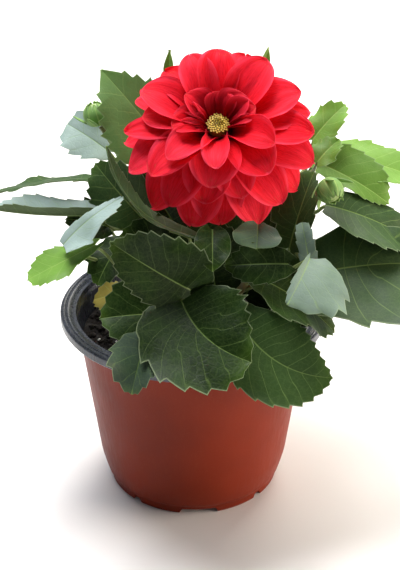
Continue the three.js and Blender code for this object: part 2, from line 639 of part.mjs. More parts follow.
// A ray petal: a narrow claw that widens to a spoon with a blunt tip, cupped about its length.
// It climbs out of the core, and elevation is the angle of its tip above the plane of the bloom.
function petal([azimuth, elevation, reach, width, cup, roll = 0]) {
  const out = bloomRight.clone().multiplyScalar(Math.cos(radians(azimuth)));
  out.addScaledVector(bloomBack, Math.sin(radians(azimuth)));
  const point = (r, z) => bloomOrigin.clone().addScaledVector(out, r).addScaledVector(bloomAxis, z);
  const depth = lerp(1.6, 9, THREE.MathUtils.clamp((reach - 14) / 34, 0, 1));
  const root = point(PETAL_ROOT, -depth);
  const tip = point(reach * Math.cos(radians(elevation)), reach * Math.sin(radians(elevation)));
  const rise = reach * (0.5 * Math.sin(radians(elevation)) + 0.13);
  const bend = point(reach * 0.5, rise);
  const share = (u) => THREE.MathUtils.clamp(u, 0, 1);
  const spoon = (u) => PETAL_FULLNESS * Math.sin(Math.PI * share(u) ** 1.28) ** 0.6;
  const half = (u) => (width / 2) * Math.max(0.3, spoon(u));
  const surface = (u, x) => {
    const middle = root
      .clone()
      .multiplyScalar((1 - u) ** 2)
      .addScaledVector(bend, 2 * u * (1 - u))
      .addScaledVector(tip, u * u);
    const t = bend.clone().sub(root).multiplyScalar(1 - u);
    t.addScaledVector(tip.clone().sub(bend), u).normalize();
    const s = bloomAxis.clone().cross(out).applyAxisAngle(t, radians(roll) * u);
    const n = t.clone().cross(s);
    const radius = half(Math.min(u, 0.95)) / radians(cup);
    const angle = x / radius;
    middle.addScaledVector(s, radius * Math.sin(angle));
    return middle.addScaledVector(n, radius * (1 - Math.cos(angle)));
  };
  const hidden = elevation < -15;
  const shares = hidden ? [-1, 0, 1] : [-1, -0.42, 0.42, 1];
  const stations = hidden ? [0, 0.5, 0.85, 1] : [0, 0.38, 0.68, 0.91, 1];
  const rows = stations.map((u) => shares.map((v) => [u, v * half(u)]));
  return solidOf(sheet(surface, rows, PETAL_THICKNESS));
}

// The red petals, fused to the core that they grow from, with a well for the disc.
function bloom() {
  const core = bloomTurned(
    [
      [0, -CORE_DEPTH],
      [CORE_RADIUS * 0.8, -CORE_DEPTH],
      [CORE_RADIUS, -CORE_DEPTH * 0.5],
      [CORE_RADIUS, -1],
      [0, -1],
    ],
    16,
  );
  const well = bloomTurned([[0, -1], [DISC_RADIUS + GAP, -1], [DISC_RADIUS + GAP, 12], [0, 12]], 16);
  return trimmed(joined([core, ...PETALS.map(petal)]).subtract(well));
}

// The yellow disc: a low dome set with rows of short tubular florets.
function disc() {
  const low = -1 + GAP;
  const rim = DISC_RADIUS - 0.6;
  const solids = [bloomTurned([[0, low], [rim, low], [rim - 0.2, 0.6], [4, 1.7], [0, 2.1]], 14)];
  for (let k = 0; k < FLORETS; k++) {
    const r = (DISC_RADIUS - 1.2) * Math.sqrt((k + 0.5) / FLORETS);
    const angle = k * Math.PI * (3 - Math.sqrt(5));
    const height = DISC_HEIGHT - 0.045 * r * r;
    const floret = new THREE.CylinderGeometry(0.62, 0.36, 3, 4).rotateX(Math.PI / 2);
    const lean = new THREE.Vector3(0.05 * r * Math.cos(angle), 0.05 * r * Math.sin(angle), 1).normalize();
    placed(floret, new THREE.Vector3(r * Math.cos(angle), r * Math.sin(angle), height - 1.5), lean);
    solids.push(solidOf(placed(floret, bloomOrigin, bloomAxis)));
  }
  return trimmed(joined(solids));
}

// The green cup under the bloom, with six bracts that bend back. It ends the flowering stem.
function calyx() {
  const high = -CORE_DEPTH - GAP;
  const low = high - CALYX_DEPTH;
  const solids = [bloomTurned([[0, low], [1.9, low], [4.6, high - 4], [5.6, high], [0, high]], 10)];
  const point = bloomOrigin.clone().addScaledVector(bloomAxis, high - 1.4);
  for (let k = 0; k < 6; k++) solids.push(bract(point, bloomAxis, (k + 0.5) * 60, 13, 6, 12));
  return joined(solids);
}

// Every piece by name, with its colour and roughness.
const LOOKS = {
  pot: ["#9d4b33", 0.42],
  potting_mix: ["#2b211b", 0.95],
  leaf: ["#3f5c31", 0.5],
  yellow_leaf: ["#a9a04a", 0.6],
  bloom: ["#cf1226", 0.6],
  disc: ["#d6b32a", 0.7],
};

const group = new THREE.Group();

// Adds one solid to the group as a named mesh.
function add(name, solid, look) {
  const [color, roughness] = LOOKS[look];
  const material = new THREE.MeshStandardMaterial({ color, roughness, metalness: 0 });
  const mesh = new THREE.Mesh(geometryOf(largest(solid)), material);
  mesh.name = name;
  group.add(mesh);
}

add("pot", pot(), "pot");
add("potting_mix", pottingMix(Object.values(STEMS)), "potting_mix");
for (const [name, stem] of Object.entries(STEMS)) {
  const solid = leafyStem(stem);
  add(name, stem.flowers ? solid.add(calyx()) : solid, "leaf");
}
const withered = leafSolid(YELLOWED, stemCurve(STEMS.left_stem).getPointAt(YELLOWED.from));
add("yellowed_leaf", withered.subtract(stemTube(STEMS.left_stem, GAP + 0.1)), "yellow_leaf");
add("bloom_petals", bloom(), "bloom");
add("bloom_disc", disc(), "disc");

export default group;
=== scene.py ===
"""Dresses the potted dahlia: pot, potting mix, leafy stems, double bloom, floor, light and camera.

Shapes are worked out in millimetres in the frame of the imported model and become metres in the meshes.
A leaf or petal is a surface of two parameters on a grid, closed into a thin shell, and a stem is a round
section carried along a smooth curve.
"""

from __future__ import annotations

import logging
import math
from dataclasses import dataclass, field
from enum import Enum, IntEnum

import bpy
import numpy as np
from mathutils import Matrix

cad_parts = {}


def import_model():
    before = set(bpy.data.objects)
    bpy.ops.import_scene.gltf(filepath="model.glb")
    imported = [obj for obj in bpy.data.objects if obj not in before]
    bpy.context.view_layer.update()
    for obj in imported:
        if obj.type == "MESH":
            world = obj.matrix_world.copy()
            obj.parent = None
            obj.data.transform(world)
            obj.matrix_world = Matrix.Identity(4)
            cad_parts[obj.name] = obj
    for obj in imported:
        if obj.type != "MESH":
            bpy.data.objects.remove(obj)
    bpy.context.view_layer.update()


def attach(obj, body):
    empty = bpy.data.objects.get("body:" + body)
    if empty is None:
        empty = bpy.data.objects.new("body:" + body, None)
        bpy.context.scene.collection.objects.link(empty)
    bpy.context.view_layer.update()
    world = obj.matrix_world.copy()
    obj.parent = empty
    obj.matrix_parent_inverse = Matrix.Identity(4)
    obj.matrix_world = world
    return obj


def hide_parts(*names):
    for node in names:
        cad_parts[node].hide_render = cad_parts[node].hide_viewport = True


LOG = logging.getLogger("dahlia")
MM = 0.001
Point = tuple[float, float, float]


# Numbers and curves


def unit(vectors: np.ndarray) -> np.ndarray:
    """Vectors scaled to length one along their last axis."""
    return vectors / np.maximum(np.linalg.norm(vectors, axis=-1, keepdims=True), 1e-9)


def smooth(low: float, high: float, values: np.ndarray) -> np.ndarray:
    """Rises from 0 at low to 1 at high with level ends: 3t squared less 2t cubed."""
    share = np.clip((np.asarray(values, float) - low) / (high - low), 0.0, 1.0)
    return share * share * (3.0 - 2.0 * share)


def turned_about(vectors: np.ndarray, axes: np.ndarray, angles: np.ndarray) -> np.ndarray:
    """Vectors turned about unit axes by angles: v cos a + (k x v) sin a + k (k.v)(1 - cos a).

    Args:
        vectors: The vectors to turn.
        axes: A unit axis for each.
        angles: Radians, with a last axis of length one.

    Returns:
        The turned vectors.
    """
    along = np.sum(vectors * axes, axis=-1, keepdims=True)
    cosine = np.cos(angles)
    return vectors * cosine + np.cross(axes, vectors) * np.sin(angles) + axes * along * (1.0 - cosine)


def ripple(points: np.ndarray, length: float, seed: int) -> np.ndarray:
    """Smooth uneven heights, mostly from -1 to 1: six sine waves in seeded directions, summed, over three.

    Args:
        points: Places in millimetres, with a last axis of length three.
        length: Mean length of a wave in millimetres.
        seed: Seed of the draws.

    Returns:
        One height for each place.
    """
    rng = np.random.default_rng(seed)
    total = np.zeros(points.shape[:-1])
    for _ in range(6):
        direction = unit(rng.normal(size=3)) * 2.0 * math.pi / (length * rng.uniform(0.6, 1.6))
        total += np.sin(points @ direction + rng.uniform(0.0, 2.0 * math.pi))
    return total / 3.0


class SmoothPath:
    """A centripetal Catmull-Rom curve through points, read by the share of its length."""

    def __init__(self, points: list[Point] | np.ndarray, samples: int = 24) -> None:
        """Samples the curve finely.

        Args:
            points: The points that it passes through.
            samples: How many steps stand between two points.
        """
        knots = np.asarray(points, float)
        knots = np.vstack([2 * knots[0] - knots[1], knots, 2 * knots[-1] - knots[-2]])
        t = np.linspace(0.0, 1.0, samples, endpoint=False)[:, None]
        runs = []
        for a, b, c, d in zip(knots, knots[1:], knots[2:], knots[3:]):
            d0, d1, d2 = (max(np.linalg.norm(q - p) ** 0.5, 1e-4) for p, q in ((a, b), (b, c), (c, d)))
            m1 = ((b - a) / d0 - (c - a) / (d0 + d1) + (c - b) / d1) * d1
            m2 = ((c - b) / d1 - (d - b) / (d1 + d2) + (d - c) / d2) * d1
            runs.append(b + m1 * t + (3 * (c - b) - 2 * m1 - m2) * t**2 + (2 * (b - c) + m1 + m2) * t**3)
        self.points = np.vstack([*runs, knots[-2]])
        steps = np.linalg.norm(np.diff(self.points, axis=0), axis=1)
        self.travel = np.concatenate([[0.0], np.cumsum(steps)])

    @property
    def length(self) -> float:
        """Length in millimetres."""
        return float(self.travel[-1])

    def at(self, shares: np.ndarray | float) -> np.ndarray:
        """Points at shares of the length."""
        where = np.asarray(shares, float) * self.length
        return np.stack([np.interp(where, self.travel, self.points[:, k]) for k in range(3)], axis=-1)


# Meshes


@dataclass
class Patch:
    """A run of points and faces, with what its points carry.

    grain is the piece's own map in millimetres, tone holds up to four shares that its finish reads, and
    blade is the map of a leaf or petal: from middle line to margin, and from base to tip, each from 0 to 1.
    """

    points: np.ndarray
    faces: list[np.ndarray]
    grain: np.ndarray
    tone: np.ndarray
    material: int = 0
    blade: np.ndarray | None = None


def flat_tone(count: int, tone: tuple[float, ...]) -> np.ndarray:
    """The same tone for each of count points, filled up to four shares."""
    return np.tile(np.array((*tone, 0.0, 0.0, 0.0, 0.0)[:4], float), (count, 1))


def grid_faces(rows: int, columns: int, ring: bool = False) -> np.ndarray:
    """Quads of a grid of points stored row by row.

    Args:
        rows: Number of rows.
        columns: Number of columns.
        ring: Whether the last column joins the first.

    Returns:
        One row of four indices for each quad.
    """
    i, j = np.meshgrid(np.arange(rows - 1), np.arange(columns if ring else columns - 1), indexing="ij")
    i, j = i.ravel(), j.ravel()
    after = (j + 1) % columns
    return np.stack([i * columns + j, i * columns + after, (i + 1) * columns + after, (i + 1) * columns + j], 1)


def capped_faces(rows: int, sides: int) -> list[np.ndarray]:
    """Faces of a closed form: rings of points stored row by row, then the middle point of each end.

    Args:
        rows: Number of rings.
        sides: Points in each.

    Returns:
        The quads between the rings and the fan at each end.
    """
    here = np.arange(sides)
    after = (here + 1) % sides
    count = rows * sides
    last = count - sides
    return [
        grid_faces(rows, sides, ring=True),
        np.stack([np.full(sides, count), after, here], 1),
        np.stack([np.full(sides, count + 1), last + here, last + after], 1),
    ]


def lathe(profile: list[tuple[float, float]], sides: int, tone: tuple[float, ...] = (), material: int = 0) -> Patch:
    """A profile of (radius, height) turned about +Z: x = r cos a, y = r sin a.

    The profile runs so that the material lies on its left, and starts and ends on the axis, where fans
    close it.

    Args:
        profile: Pairs in millimetres.
        sides: Faces round the axis.
        tone: What its points carry.
        material: Which material of the piece it wears.

    Returns:
        The closed patch.
    """
    pairs = np.asarray(profile, float)
    angle = np.arange(sides) * 2.0 * math.pi / sides
    body = pairs[1:-1]
    ring = np.stack([np.cos(angle), np.sin(angle)], 1)
    points = np.concatenate(
        [body[:, None, :1] * ring[None], np.broadcast_to(body[:, None, 1:], (len(body), sides, 1))], axis=2
    )
    points = np.vstack([points.reshape(-1, 3), [0, 0, pairs[0, 1]], [0, 0, pairs[-1, 1]]])
    around = np.arctan2(points[:, 1], points[:, 0]) * np.hypot(points[:, 0], points[:, 1])
    grain = np.stack([around, points[:, 2]], 1)
    return Patch(points, capped_faces(len(body), sides), grain, flat_tone(len(points), tone), material)


def shell(
    middle: np.ndarray,
    above: np.ndarray,
    below: np.ndarray,
    grain: np.ndarray,
    tone: np.ndarray,
    blade: np.ndarray,
    materials: tuple[int, int] = (0, 0),
) -> list[Patch]:
    """A closed thin shell round a surface on a grid, as a front patch and a back patch that share points.

    Each side lies off the middle surface along its normal, by above on the front and by below on the back.

    Args:
        middle: Points of the middle surface, rows by columns by three.
        above: Distance of the upper face, rows by columns.
        below: Distance of the lower face, rows by columns.
        grain: The map of each point, rows by columns by two.
        tone: Four shares for each point, rows by columns by four.
        blade: From middle line to margin and from base to tip, rows by columns by two.
        materials: Material of the upper and of the lower face.

    Returns:
        The front, with all the points and the rim, and the back, whose faces count back to those points.
    """
    along = np.gradient(middle, axis=0)
    across = np.gradient(middle, axis=1)
    normal = unit(np.cross(along, across))
    rows, columns = middle.shape[:2]
    top = (middle + normal * above[..., None]).reshape(-1, 3)
    bottom = (middle - normal * below[..., None]).reshape(-1, 3)
    quads = grid_faces(rows, columns)[:, ::-1]
    index = np.arange(rows * columns).reshape(rows, columns)
    edge = np.concatenate([index[0], index[1:, -1], index[-1, -2::-1], index[-2:0:-1, 0]])
    here, after = edge, np.roll(edge, -1)
    count = rows * columns
    rim = np.stack([after, after + count, here + count, here], 1)
    points = np.vstack([top, bottom])
    grains = np.vstack([grain.reshape(-1, 2)] * 2)
    tones = np.vstack([tone.reshape(-1, 4)] * 2)
    front = Patch(points, [quads, rim], grains, tones, materials[0], np.vstack([blade.reshape(-1, 2)] * 2))
    back = Patch(np.zeros((0, 3)), [quads[:, ::-1] - count], np.zeros((0, 2)), np.zeros((0, 4)), materials[1])
    return [front, back]


def tube(
    path: np.ndarray,
    radii: np.ndarray,
    sides: int,
    tone: tuple[float, ...] = (),
    material: int = 0,
    ribs: float = 0.0,
) -> Patch:
    """A round section carried along a path: p + r (cos a n + sin a b), with n and b carried without twist.

    Args:
        path: Points along the middle.
        radii: Radius at each.
        sides: Faces round it.
        tone: What its points carry.
        material: Which material of the piece it wears.
        ribs: Share of the radius by which five ribs stand out.

    Returns:
        The patch, closed by a fan at each end.
    """
    tangent = unit(np.gradient(path, axis=0))
    normal = unit(np.cross(tangent[0], [0.31, 0.95, 0.02] if abs(tangent[0][2]) > 0.5 else [0.0, 0.0, 1.0]))
    normals = []
    for direction in tangent:
        normal = unit(normal - direction * float(normal @ direction))
        normals.append(normal)
    frame = np.array(normals)
    other = np.cross(tangent, frame)
    angle = np.arange(sides) * 2.0 * math.pi / sides
    swell = radii[:, None] * (1.0 + ribs * np.cos(5.0 * angle))[None]
    ring = frame[:, None] * np.cos(angle)[None, :, None] + other[:, None] * np.sin(angle)[None, :, None]
    points = (path[:, None] + ring * swell[..., None]).reshape(-1, 3)
    travel = np.concatenate([[0.0], np.cumsum(np.linalg.norm(np.diff(path, axis=0), axis=1))])
    grain = np.stack(np.broadcast_arrays((angle * radii.mean())[None], travel[:, None]), axis=-1).reshape(-1, 2)
    points = np.vstack([points, path[0], path[-1]])
    grain = np.vstack([grain, [0, 0], [0, travel[-1]]])
    return Patch(points, capped_faces(len(path), sides), grain, flat_tone(len(points), tone), material)


def make_piece(
    name: str, patches: list[Patch], materials: list[bpy.types.Material], sharp: float = 50.0
) -> bpy.types.Object:
    """One mesh object from patches, in metres, with its maps "grain" and "blade" and attribute "tone".

    Args:
        name: Name of the piece.
        patches: Its parts in millimetres.
        materials: Its materials in the order that the patches count them.
        sharp: Angle in degrees past which an edge is shaded sharp.

    Returns:
        The linked object, at the origin.
    """
    points = np.vstack([patch.points for patch in patches])
    offset = 0
    faces: list[np.ndarray] = []
    wear: list[np.ndarray] = []
    for patch in patches:
        for block in patch.faces:
            faces.append(block + offset)
            wear.append(np.full(len(block), patch.material))
        offset += len(patch.points)
    totals = np.concatenate([np.full(len(block), block.shape[1]) for block in faces])
    loops = np.concatenate([block.ravel() for block in faces]).astype(np.int32)
    mesh = bpy.data.meshes.new(name)
    mesh.vertices.add(len(points))
    mesh.vertices.foreach_set("co", (points * MM).ravel())
    mesh.loops.add(len(loops))
    mesh.loops.foreach_set("vertex_index", loops)
    mesh.polygons.add(len(totals))
    starts = np.concatenate([[0], np.cumsum(totals)[:-1]]).astype(np.int32)
    mesh.polygons.foreach_set("loop_start", starts)
    mesh.polygons.foreach_set("material_index", np.concatenate(wear).astype(np.int32))
    grain = np.vstack([patch.grain for patch in patches])
    tone = np.vstack([patch.tone for patch in patches])
    blade = np.vstack([np.zeros((len(p.points), 2)) if p.blade is None else p.blade for p in patches])
    for key, values in (("grain", grain), ("blade", blade)):
        mesh.uv_layers.new(name=key).data.foreach_set("uv", values[loops].ravel())
    mesh.attributes.new("tone", "FLOAT_COLOR", "POINT").data.foreach_set("color", tone.ravel())
    mesh.update(calc_edges=True)
    mesh.validate()
    mesh.shade_smooth()
    mesh.set_sharp_from_angle(angle=math.radians(sharp))
    for material in materials:
        mesh.materials.append(material)
    piece = bpy.data.objects.new(name, mesh)
    bpy.context.scene.collection.objects.link(piece)
    return piece


def dress(piece: bpy.types.Object, slot: str, *nodes: str) -> None:
    """Lets a piece ride on the part and stand for CAD nodes, which it hides.

    Args:
        piece: The finished piece.
        slot: Name of a material slot, not used.
        nodes: CAD nodes that it stands for.
    """
    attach(piece, "root")
    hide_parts(*nodes)
    LOG.info("%s: %d faces, stands for %s", piece.name, len(piece.data.polygons), ", ".join(nodes))


# Finishes


def tint(code: str) -> tuple[float, float, float, float]:
    """A linear colour from an sRGB hex code such as "3a5a2c"."""
    shares = [int(code[k : k + 2], 16) / 255.0 for k in (0, 2, 4)]
    return (*[s / 12.92 if s <= 0.04045 else ((s + 0.055) / 1.055) ** 2.4 for s in shares], 1.0)


def waves(size_mm: float) -> float:
    """Waves to the metre of a pattern that has one in size_mm millimetres."""
    return 1.0 / (size_mm * MM)


def add_node(tree: bpy.types.NodeTree, kind: str, sockets: dict | None = None, **settings: object) -> bpy.types.Node:
    """Adds a node with its settings, and sets or links its sockets.

    Args:
        tree: The material's or the world's node tree.
        kind: The node's type.
        sockets: What goes into each input: a number, a colour or another node's output.
        settings: The node's own properties.

    Returns:
        The new node.
    """
    node = tree.nodes.new(kind)
    for key, value in settings.items():
        setattr(node, key, value)
    for key, value in (sockets or {}).items():
        if isinstance(value, bpy.types.NodeSocket):
            tree.links.new(value, node.inputs[key])
        else:
            node.inputs[key].default_value = value
    return node


class Step(Enum):
    """A step of a material: its node, the node's settings, the inputs that it fills in order, and its result."""

    TIMES = ("ShaderNodeMath", {"operation": "MULTIPLY"}, (0, 1), 0)
    PLUS = ("ShaderNodeMath", {"operation": "ADD"}, (0, 1), 0)
    MINUS = ("ShaderNodeMath", {"operation": "SUBTRACT"}, (0, 1), 0)
    OVER = ("ShaderNodeMath", {"operation": "DIVIDE"}, (0, 1), 0)
    LARGER = ("ShaderNodeMath", {"operation": "MAXIMUM"}, (0, 1), 0)
    SIZE = ("ShaderNodeMath", {"operation": "ABSOLUTE"}, (0,), 0)
    FRACTION = ("ShaderNodeMath", {"operation": "FRACT"}, (0,), 0)
    # A value taken smoothly from low..high to start..end, which are 0 and 1 unless given.
    RAMP = ("ShaderNodeMapRange", {"interpolation_type": "SMOOTHSTEP"}, (0, 1, 2, 3, 4), 0)
    # Two colours mixed by a share, which comes first.
    BLEND = ("ShaderNodeMix", {"data_type": "RGBA"}, (0, 6, 7), 2)
    # Uneven values from 0 to 1: a place, waves to its unit, and detail.
    NOISE = ("ShaderNodeTexNoise", {}, ("Vector", "Scale", "Detail"), 0)
    # Distance from the edges of irregular cells: a place, and cells to its unit.
    CELLS = ("ShaderNodeTexVoronoi", {"feature": "DISTANCE_TO_EDGE"}, ("Vector", "Scale"), 0)
    STRETCH = ("ShaderNodeMapping", {}, ("Vector", "Scale"), 0)
    PLACE = ("ShaderNodeTexCoord", {}, (), "Object")
    # A normal bent by a height from 0 to 1, its depth in metres and its strength.
    RELIEF = ("ShaderNodeBump", {}, ("Height", "Distance", "Strength"), 0)


class Painter:
    """Builds one material from steps."""

    def __init__(self, name: str) -> None:
        """Starts an empty material.

        Args:
            name: Name of the material.
        """
        self.material = bpy.data.materials.new(name)
        self.material.use_nodes = True
        self.tree = self.material.node_tree
        self.tree.nodes.clear()

    def add(self, step: Step, *values: object) -> bpy.types.NodeSocket:
        """Adds one step on numbers, colours or results, and gives its own result."""
        kind, settings, keys, result = step.value
        return add_node(self.tree, kind, dict(zip(keys, values)), **settings).outputs[result]

    def layered(self, colour: object, *layers: tuple[object, str]) -> bpy.types.NodeSocket:
        """Lays colours over a first one.

        Args:
            colour: The first colour.
            layers: The share and the sRGB hex code of each colour over it.

        Returns:
            The colour on top.
        """
        for share, code in layers:
            colour = self.add(Step.BLEND, share, colour, tint(code))
        return colour

    def chart(self, name: str) -> tuple[bpy.types.NodeSocket, bpy.types.NodeSocket, bpy.types.NodeSocket]:
        """Reads one of the piece's own maps.

        Args:
            name: The map.

        Returns:
            The whole vector, its first and its second part.
        """
        vector = add_node(self.tree, "ShaderNodeUVMap", uv_map=name).outputs[0]
        parts = add_node(self.tree, "ShaderNodeSeparateXYZ", {0: vector})
        return vector, parts.outputs[0], parts.outputs[1]

    def tones(self) -> list[bpy.types.NodeSocket]:
        """Reads the attribute "tone".

        Returns:
            Its four shares.
        """
        source = add_node(self.tree, "ShaderNodeAttribute", attribute_name="tone")
        parts = add_node(self.tree, "ShaderNodeSeparateColor", {0: source.outputs["Color"]})
        return [parts.outputs[0], parts.outputs[1], parts.outputs[2], source.outputs["Alpha"]]

    def finish(self, through: object = None, share: float = 0.0, **sockets: object) -> bpy.types.Material:
        """Closes the material with its surface.

        Args:
            through: Colour of the light that comes through a thin blade, if any does.
            share: How much of the light does.
            sockets: Inputs of the surface, with underscores for spaces.

        Returns:
            The material.
        """
        named = {key.replace("_", " "): value for key, value in sockets.items()}
        surface = add_node(self.tree, "ShaderNodeBsdfPrincipled", named).outputs[0]
        if through is not None:
            lit = add_node(self.tree, "ShaderNodeBsdfTranslucent", {"Color": through}).outputs[0]
            surface = add_node(self.tree, "ShaderNodeMixShader", {0: share, 1: surface, 2: lit}).outputs[0]
        add_node(self.tree, "ShaderNodeOutputMaterial", {0: surface})
        return self.material


@dataclass(frozen=True)
class FormedPlastic:
    """Polypropylene sheet, vacuum formed over a mould.

    Thin and satin, with faint upright drag lines from the mould, cloudy wall thickness and a little dust.
    The drag lines and the dust are drawn coarser than they are, so that they show.
    """

    name: str
    colour: str
    shade: str
    dust: str
    roughness: float
    dust_share: float
    shine: float
    cloud_mm: float = 45.45
    drag_mm: float = 1.111
    grit_mm: float = 0.7143

    def material(self) -> bpy.types.Material:
        """Builds the finish.

        Returns:
            The material.
        """
        painter = Painter(self.name)
        add = painter.add
        place = add(Step.PLACE)
        cloud = add(Step.NOISE, place, waves(self.cloud_mm), 2.0)
        stretched = add(Step.STRETCH, place, (1.0, 1.0, 0.05))
        drag = add(Step.NOISE, stretched, waves(self.drag_mm), 3.0)
        specks = add(Step.NOISE, place, waves(self.grit_mm), 5.0)
        dusty = add(Step.RAMP, add(Step.TIMES, drag, specks), 0.24, 0.4, 0.0, self.dust_share)
        thick = add(Step.RAMP, cloud, 0.3, 0.7)
        colour = painter.layered(tint(self.shade), (thick, self.colour), (dusty, self.dust))
        height = add(Step.PLUS, add(Step.TIMES, drag, 0.6), add(Step.TIMES, specks, 0.25))
        rough = add(Step.RAMP, drag, 0.3, 0.7, self.roughness - 0.05, self.roughness + 0.08)
        return painter.finish(
            Base_Color=colour,
            Roughness=rough,
            IOR=1.49,
            Specular_IOR_Level=self.shine,
            Normal=add(Step.RELIEF, height, 0.05 * MM, 0.5),
        )


@dataclass(frozen=True)
class PeatMix:
    """Moist sphagnum peat with bark crumbs: nearly black, fibrous and matt, with small damp glints."""

    name: str = "moist_peat"
    dark: str = "0f0b08"
    light: str = "30231a"
    perlite: tuple[str, str] = ("b9b6ae", "e9e7e1")
    fibre_mm: float = 1.4286
    lump_mm: float = 6.25

    def material(self) -> bpy.types.Material:
        """Builds the finish. The first tone share lightens a crumb, the second whitens it to perlite.

        Returns:
            The material.
        """
        painter = Painter(self.name)
        add = painter.add
        place = add(Step.PLACE)
        light, white, _, _ = painter.tones()
        fibre = add(Step.NOISE, place, waves(self.fibre_mm), 8.0)
        lump = add(Step.NOISE, place, waves(self.lump_mm), 3.0)
        share = add(Step.PLUS, add(Step.RAMP, fibre, 0.35, 0.75, 0.0, 0.6), add(Step.TIMES, light, 0.5))
        shade = add(Step.RAMP, lump, 0.3, 0.7, 0.0, 0.35)
        peat = painter.layered(tint(self.dark), (share, self.light), (shade, self.dark))
        perlite = add(Step.BLEND, add(Step.RAMP, fibre, 0.3, 0.7), *map(tint, self.perlite))
        colour = add(Step.BLEND, white, peat, perlite)
        rough = add(Step.RAMP, lump, 0.35, 0.65, 0.65, 0.95)
        normal = add(Step.RELIEF, fibre, 0.9 * MM, 0.8)
        return painter.finish(Base_Color=colour, Roughness=rough, IOR=1.4, Normal=normal)


class LeafSide(Enum):
    """Which side of a leaf a finish covers."""

    UPPER = "upper"
    LOWER = "lower"


@dataclass(frozen=True)
class LeafSkin:
    """Dahlia leaf: a wax cuticle over deep green flesh.

    Above it is dark and satin with fine pale sunken veins that bend towards the tip and end in the teeth,
    below it is paler and matt with raised veins. Light from behind comes through yellow-green. A pale
    blue-grey painted sky reflection lies over the upper side as far as the tone gives it, and faintly over
    the lower, and a pale painted highlight runs along the margin. The pores are drawn coarser than they are,
    so that they show.
    """

    side: LeafSide
    kind: str = "dahlia_leaf"
    dark: str = "112107"
    fresh: str = "2f5210"
    lime: str = "86b832"
    # Pale blue-grey: painted sky reflection, laid on by the third tone share.
    sky_sheen: str = "b4cac4"
    vein: str = "8fae5c"
    # Pale: painted highlight along the margin.
    margin: str = "a7b98c"
    dull: str = "76885a"
    lime_vein: str = "c3d67c"
    glow: str = "a4d22c"
    dim_glow: str = "28460a"
    cell_mm: float = 2.778
    mottle_mm: float = 13.333
    pore_mm: float = 0.6667
    vein_at: float = 0.8

    def material(self) -> bpy.types.Material:
        """Builds the finish.

        Tone holds how fresh and how lime the leaf is and how much painted sky reflection lies on it, and counts
        its side veins, with a vein wherever the count's fraction is vein_at. Grain is the distance from the
        midrib and along it in millimetres, so the net of small veins keeps its size.

        Returns:
            The material.
        """
        above = self.side is LeafSide.UPPER
        painter = Painter(f"{self.kind}_{self.side.value}")
        add = painter.add
        vector, across, _ = painter.chart("grain")
        _, out, along = painter.chart("blade")
        fresh, lime, sky_sheen, count = painter.tones()
        place = add(Step.PLACE)
        beside = add(Step.SIZE, add(Step.MINUS, add(Step.FRACTION, count), self.vein_at))
        side_vein = add(Step.RAMP, beside, 0.006, 0.04, 1.0, 0.0)
        side_vein = add(Step.TIMES, side_vein, add(Step.RAMP, out, 0.7, 1.0, 1.0, 0.35))
        width = add(Step.RAMP, along, 0.0, 1.0, 1.0, 0.45)
        away = add(Step.OVER, add(Step.SIZE, across), width)
        midrib = add(Step.RAMP, away, 0.15, 0.6, 1.0, 0.0)
        cells = add(Step.CELLS, vector, 1.0 / self.cell_mm)
        net = add(Step.RAMP, cells, 0.02, 0.16, 1.0, 0.0)
        faint = add(Step.TIMES, side_vein, add(Step.RAMP, fresh, 0.05, 0.4, 0.38, 0.6))
        veins = add(Step.LARGER, midrib, faint)
        drawn = add(Step.LARGER, veins, add(Step.TIMES, net, 0.07))
        mottle = add(Step.NOISE, place, waves(self.mottle_mm), 4.0)
        pores = add(Step.NOISE, place, waves(self.pore_mm), 2.0)
        body = painter.layered(
            tint(self.dark),
            (fresh, self.fresh),
            (lime, self.lime),
            # Painted sky reflection: strong on the upper side, faint on the lower.
            (add(Step.TIMES, sky_sheen, 0.85 if above else 0.12), self.sky_sheen),
            (add(Step.RAMP, mottle, 0.35, 0.75, 0.0, 0.3), self.fresh),
            (add(Step.RAMP, pores, 0.45, 0.7, 0.0, 0.05), self.vein),
        )
        pale = painter.layered(tint(self.vein), (lime, self.lime_vein))
        colour = add(Step.BLEND, add(Step.TIMES, drawn, 0.5 if above else 0.7), body, pale)
        # Painted highlight: a pale line along the very margin, as if its edge caught light from behind.
        rim = add(Step.TIMES, add(Step.RAMP, out, 0.965, 0.995), 0.4)
        colour = painter.layered(colour, (0.0 if above else 0.45, self.dull), (rim, self.margin))
        height = add(Step.MINUS if above else Step.PLUS, add(Step.TIMES, net, -0.4), veins)
        height = add(Step.PLUS, height, add(Step.TIMES, pores, 0.2))
        smoothest, roughest = (0.4, 0.52) if above else (0.6, 0.75)
        rough = add(Step.RAMP, mottle, 0.3, 0.7, smoothest, roughest)
        return painter.finish(
            through=painter.layered(tint(self.dim_glow), (add(Step.RAMP, lime, 0.0, 0.6), self.glow)),
            share=0.2,
            Base_Color=colour,
            Roughness=rough,
            IOR=1.5,
            Specular_IOR_Level=0.17,
            Normal=add(Step.RELIEF, height, 0.2 * MM, 0.4),
        )


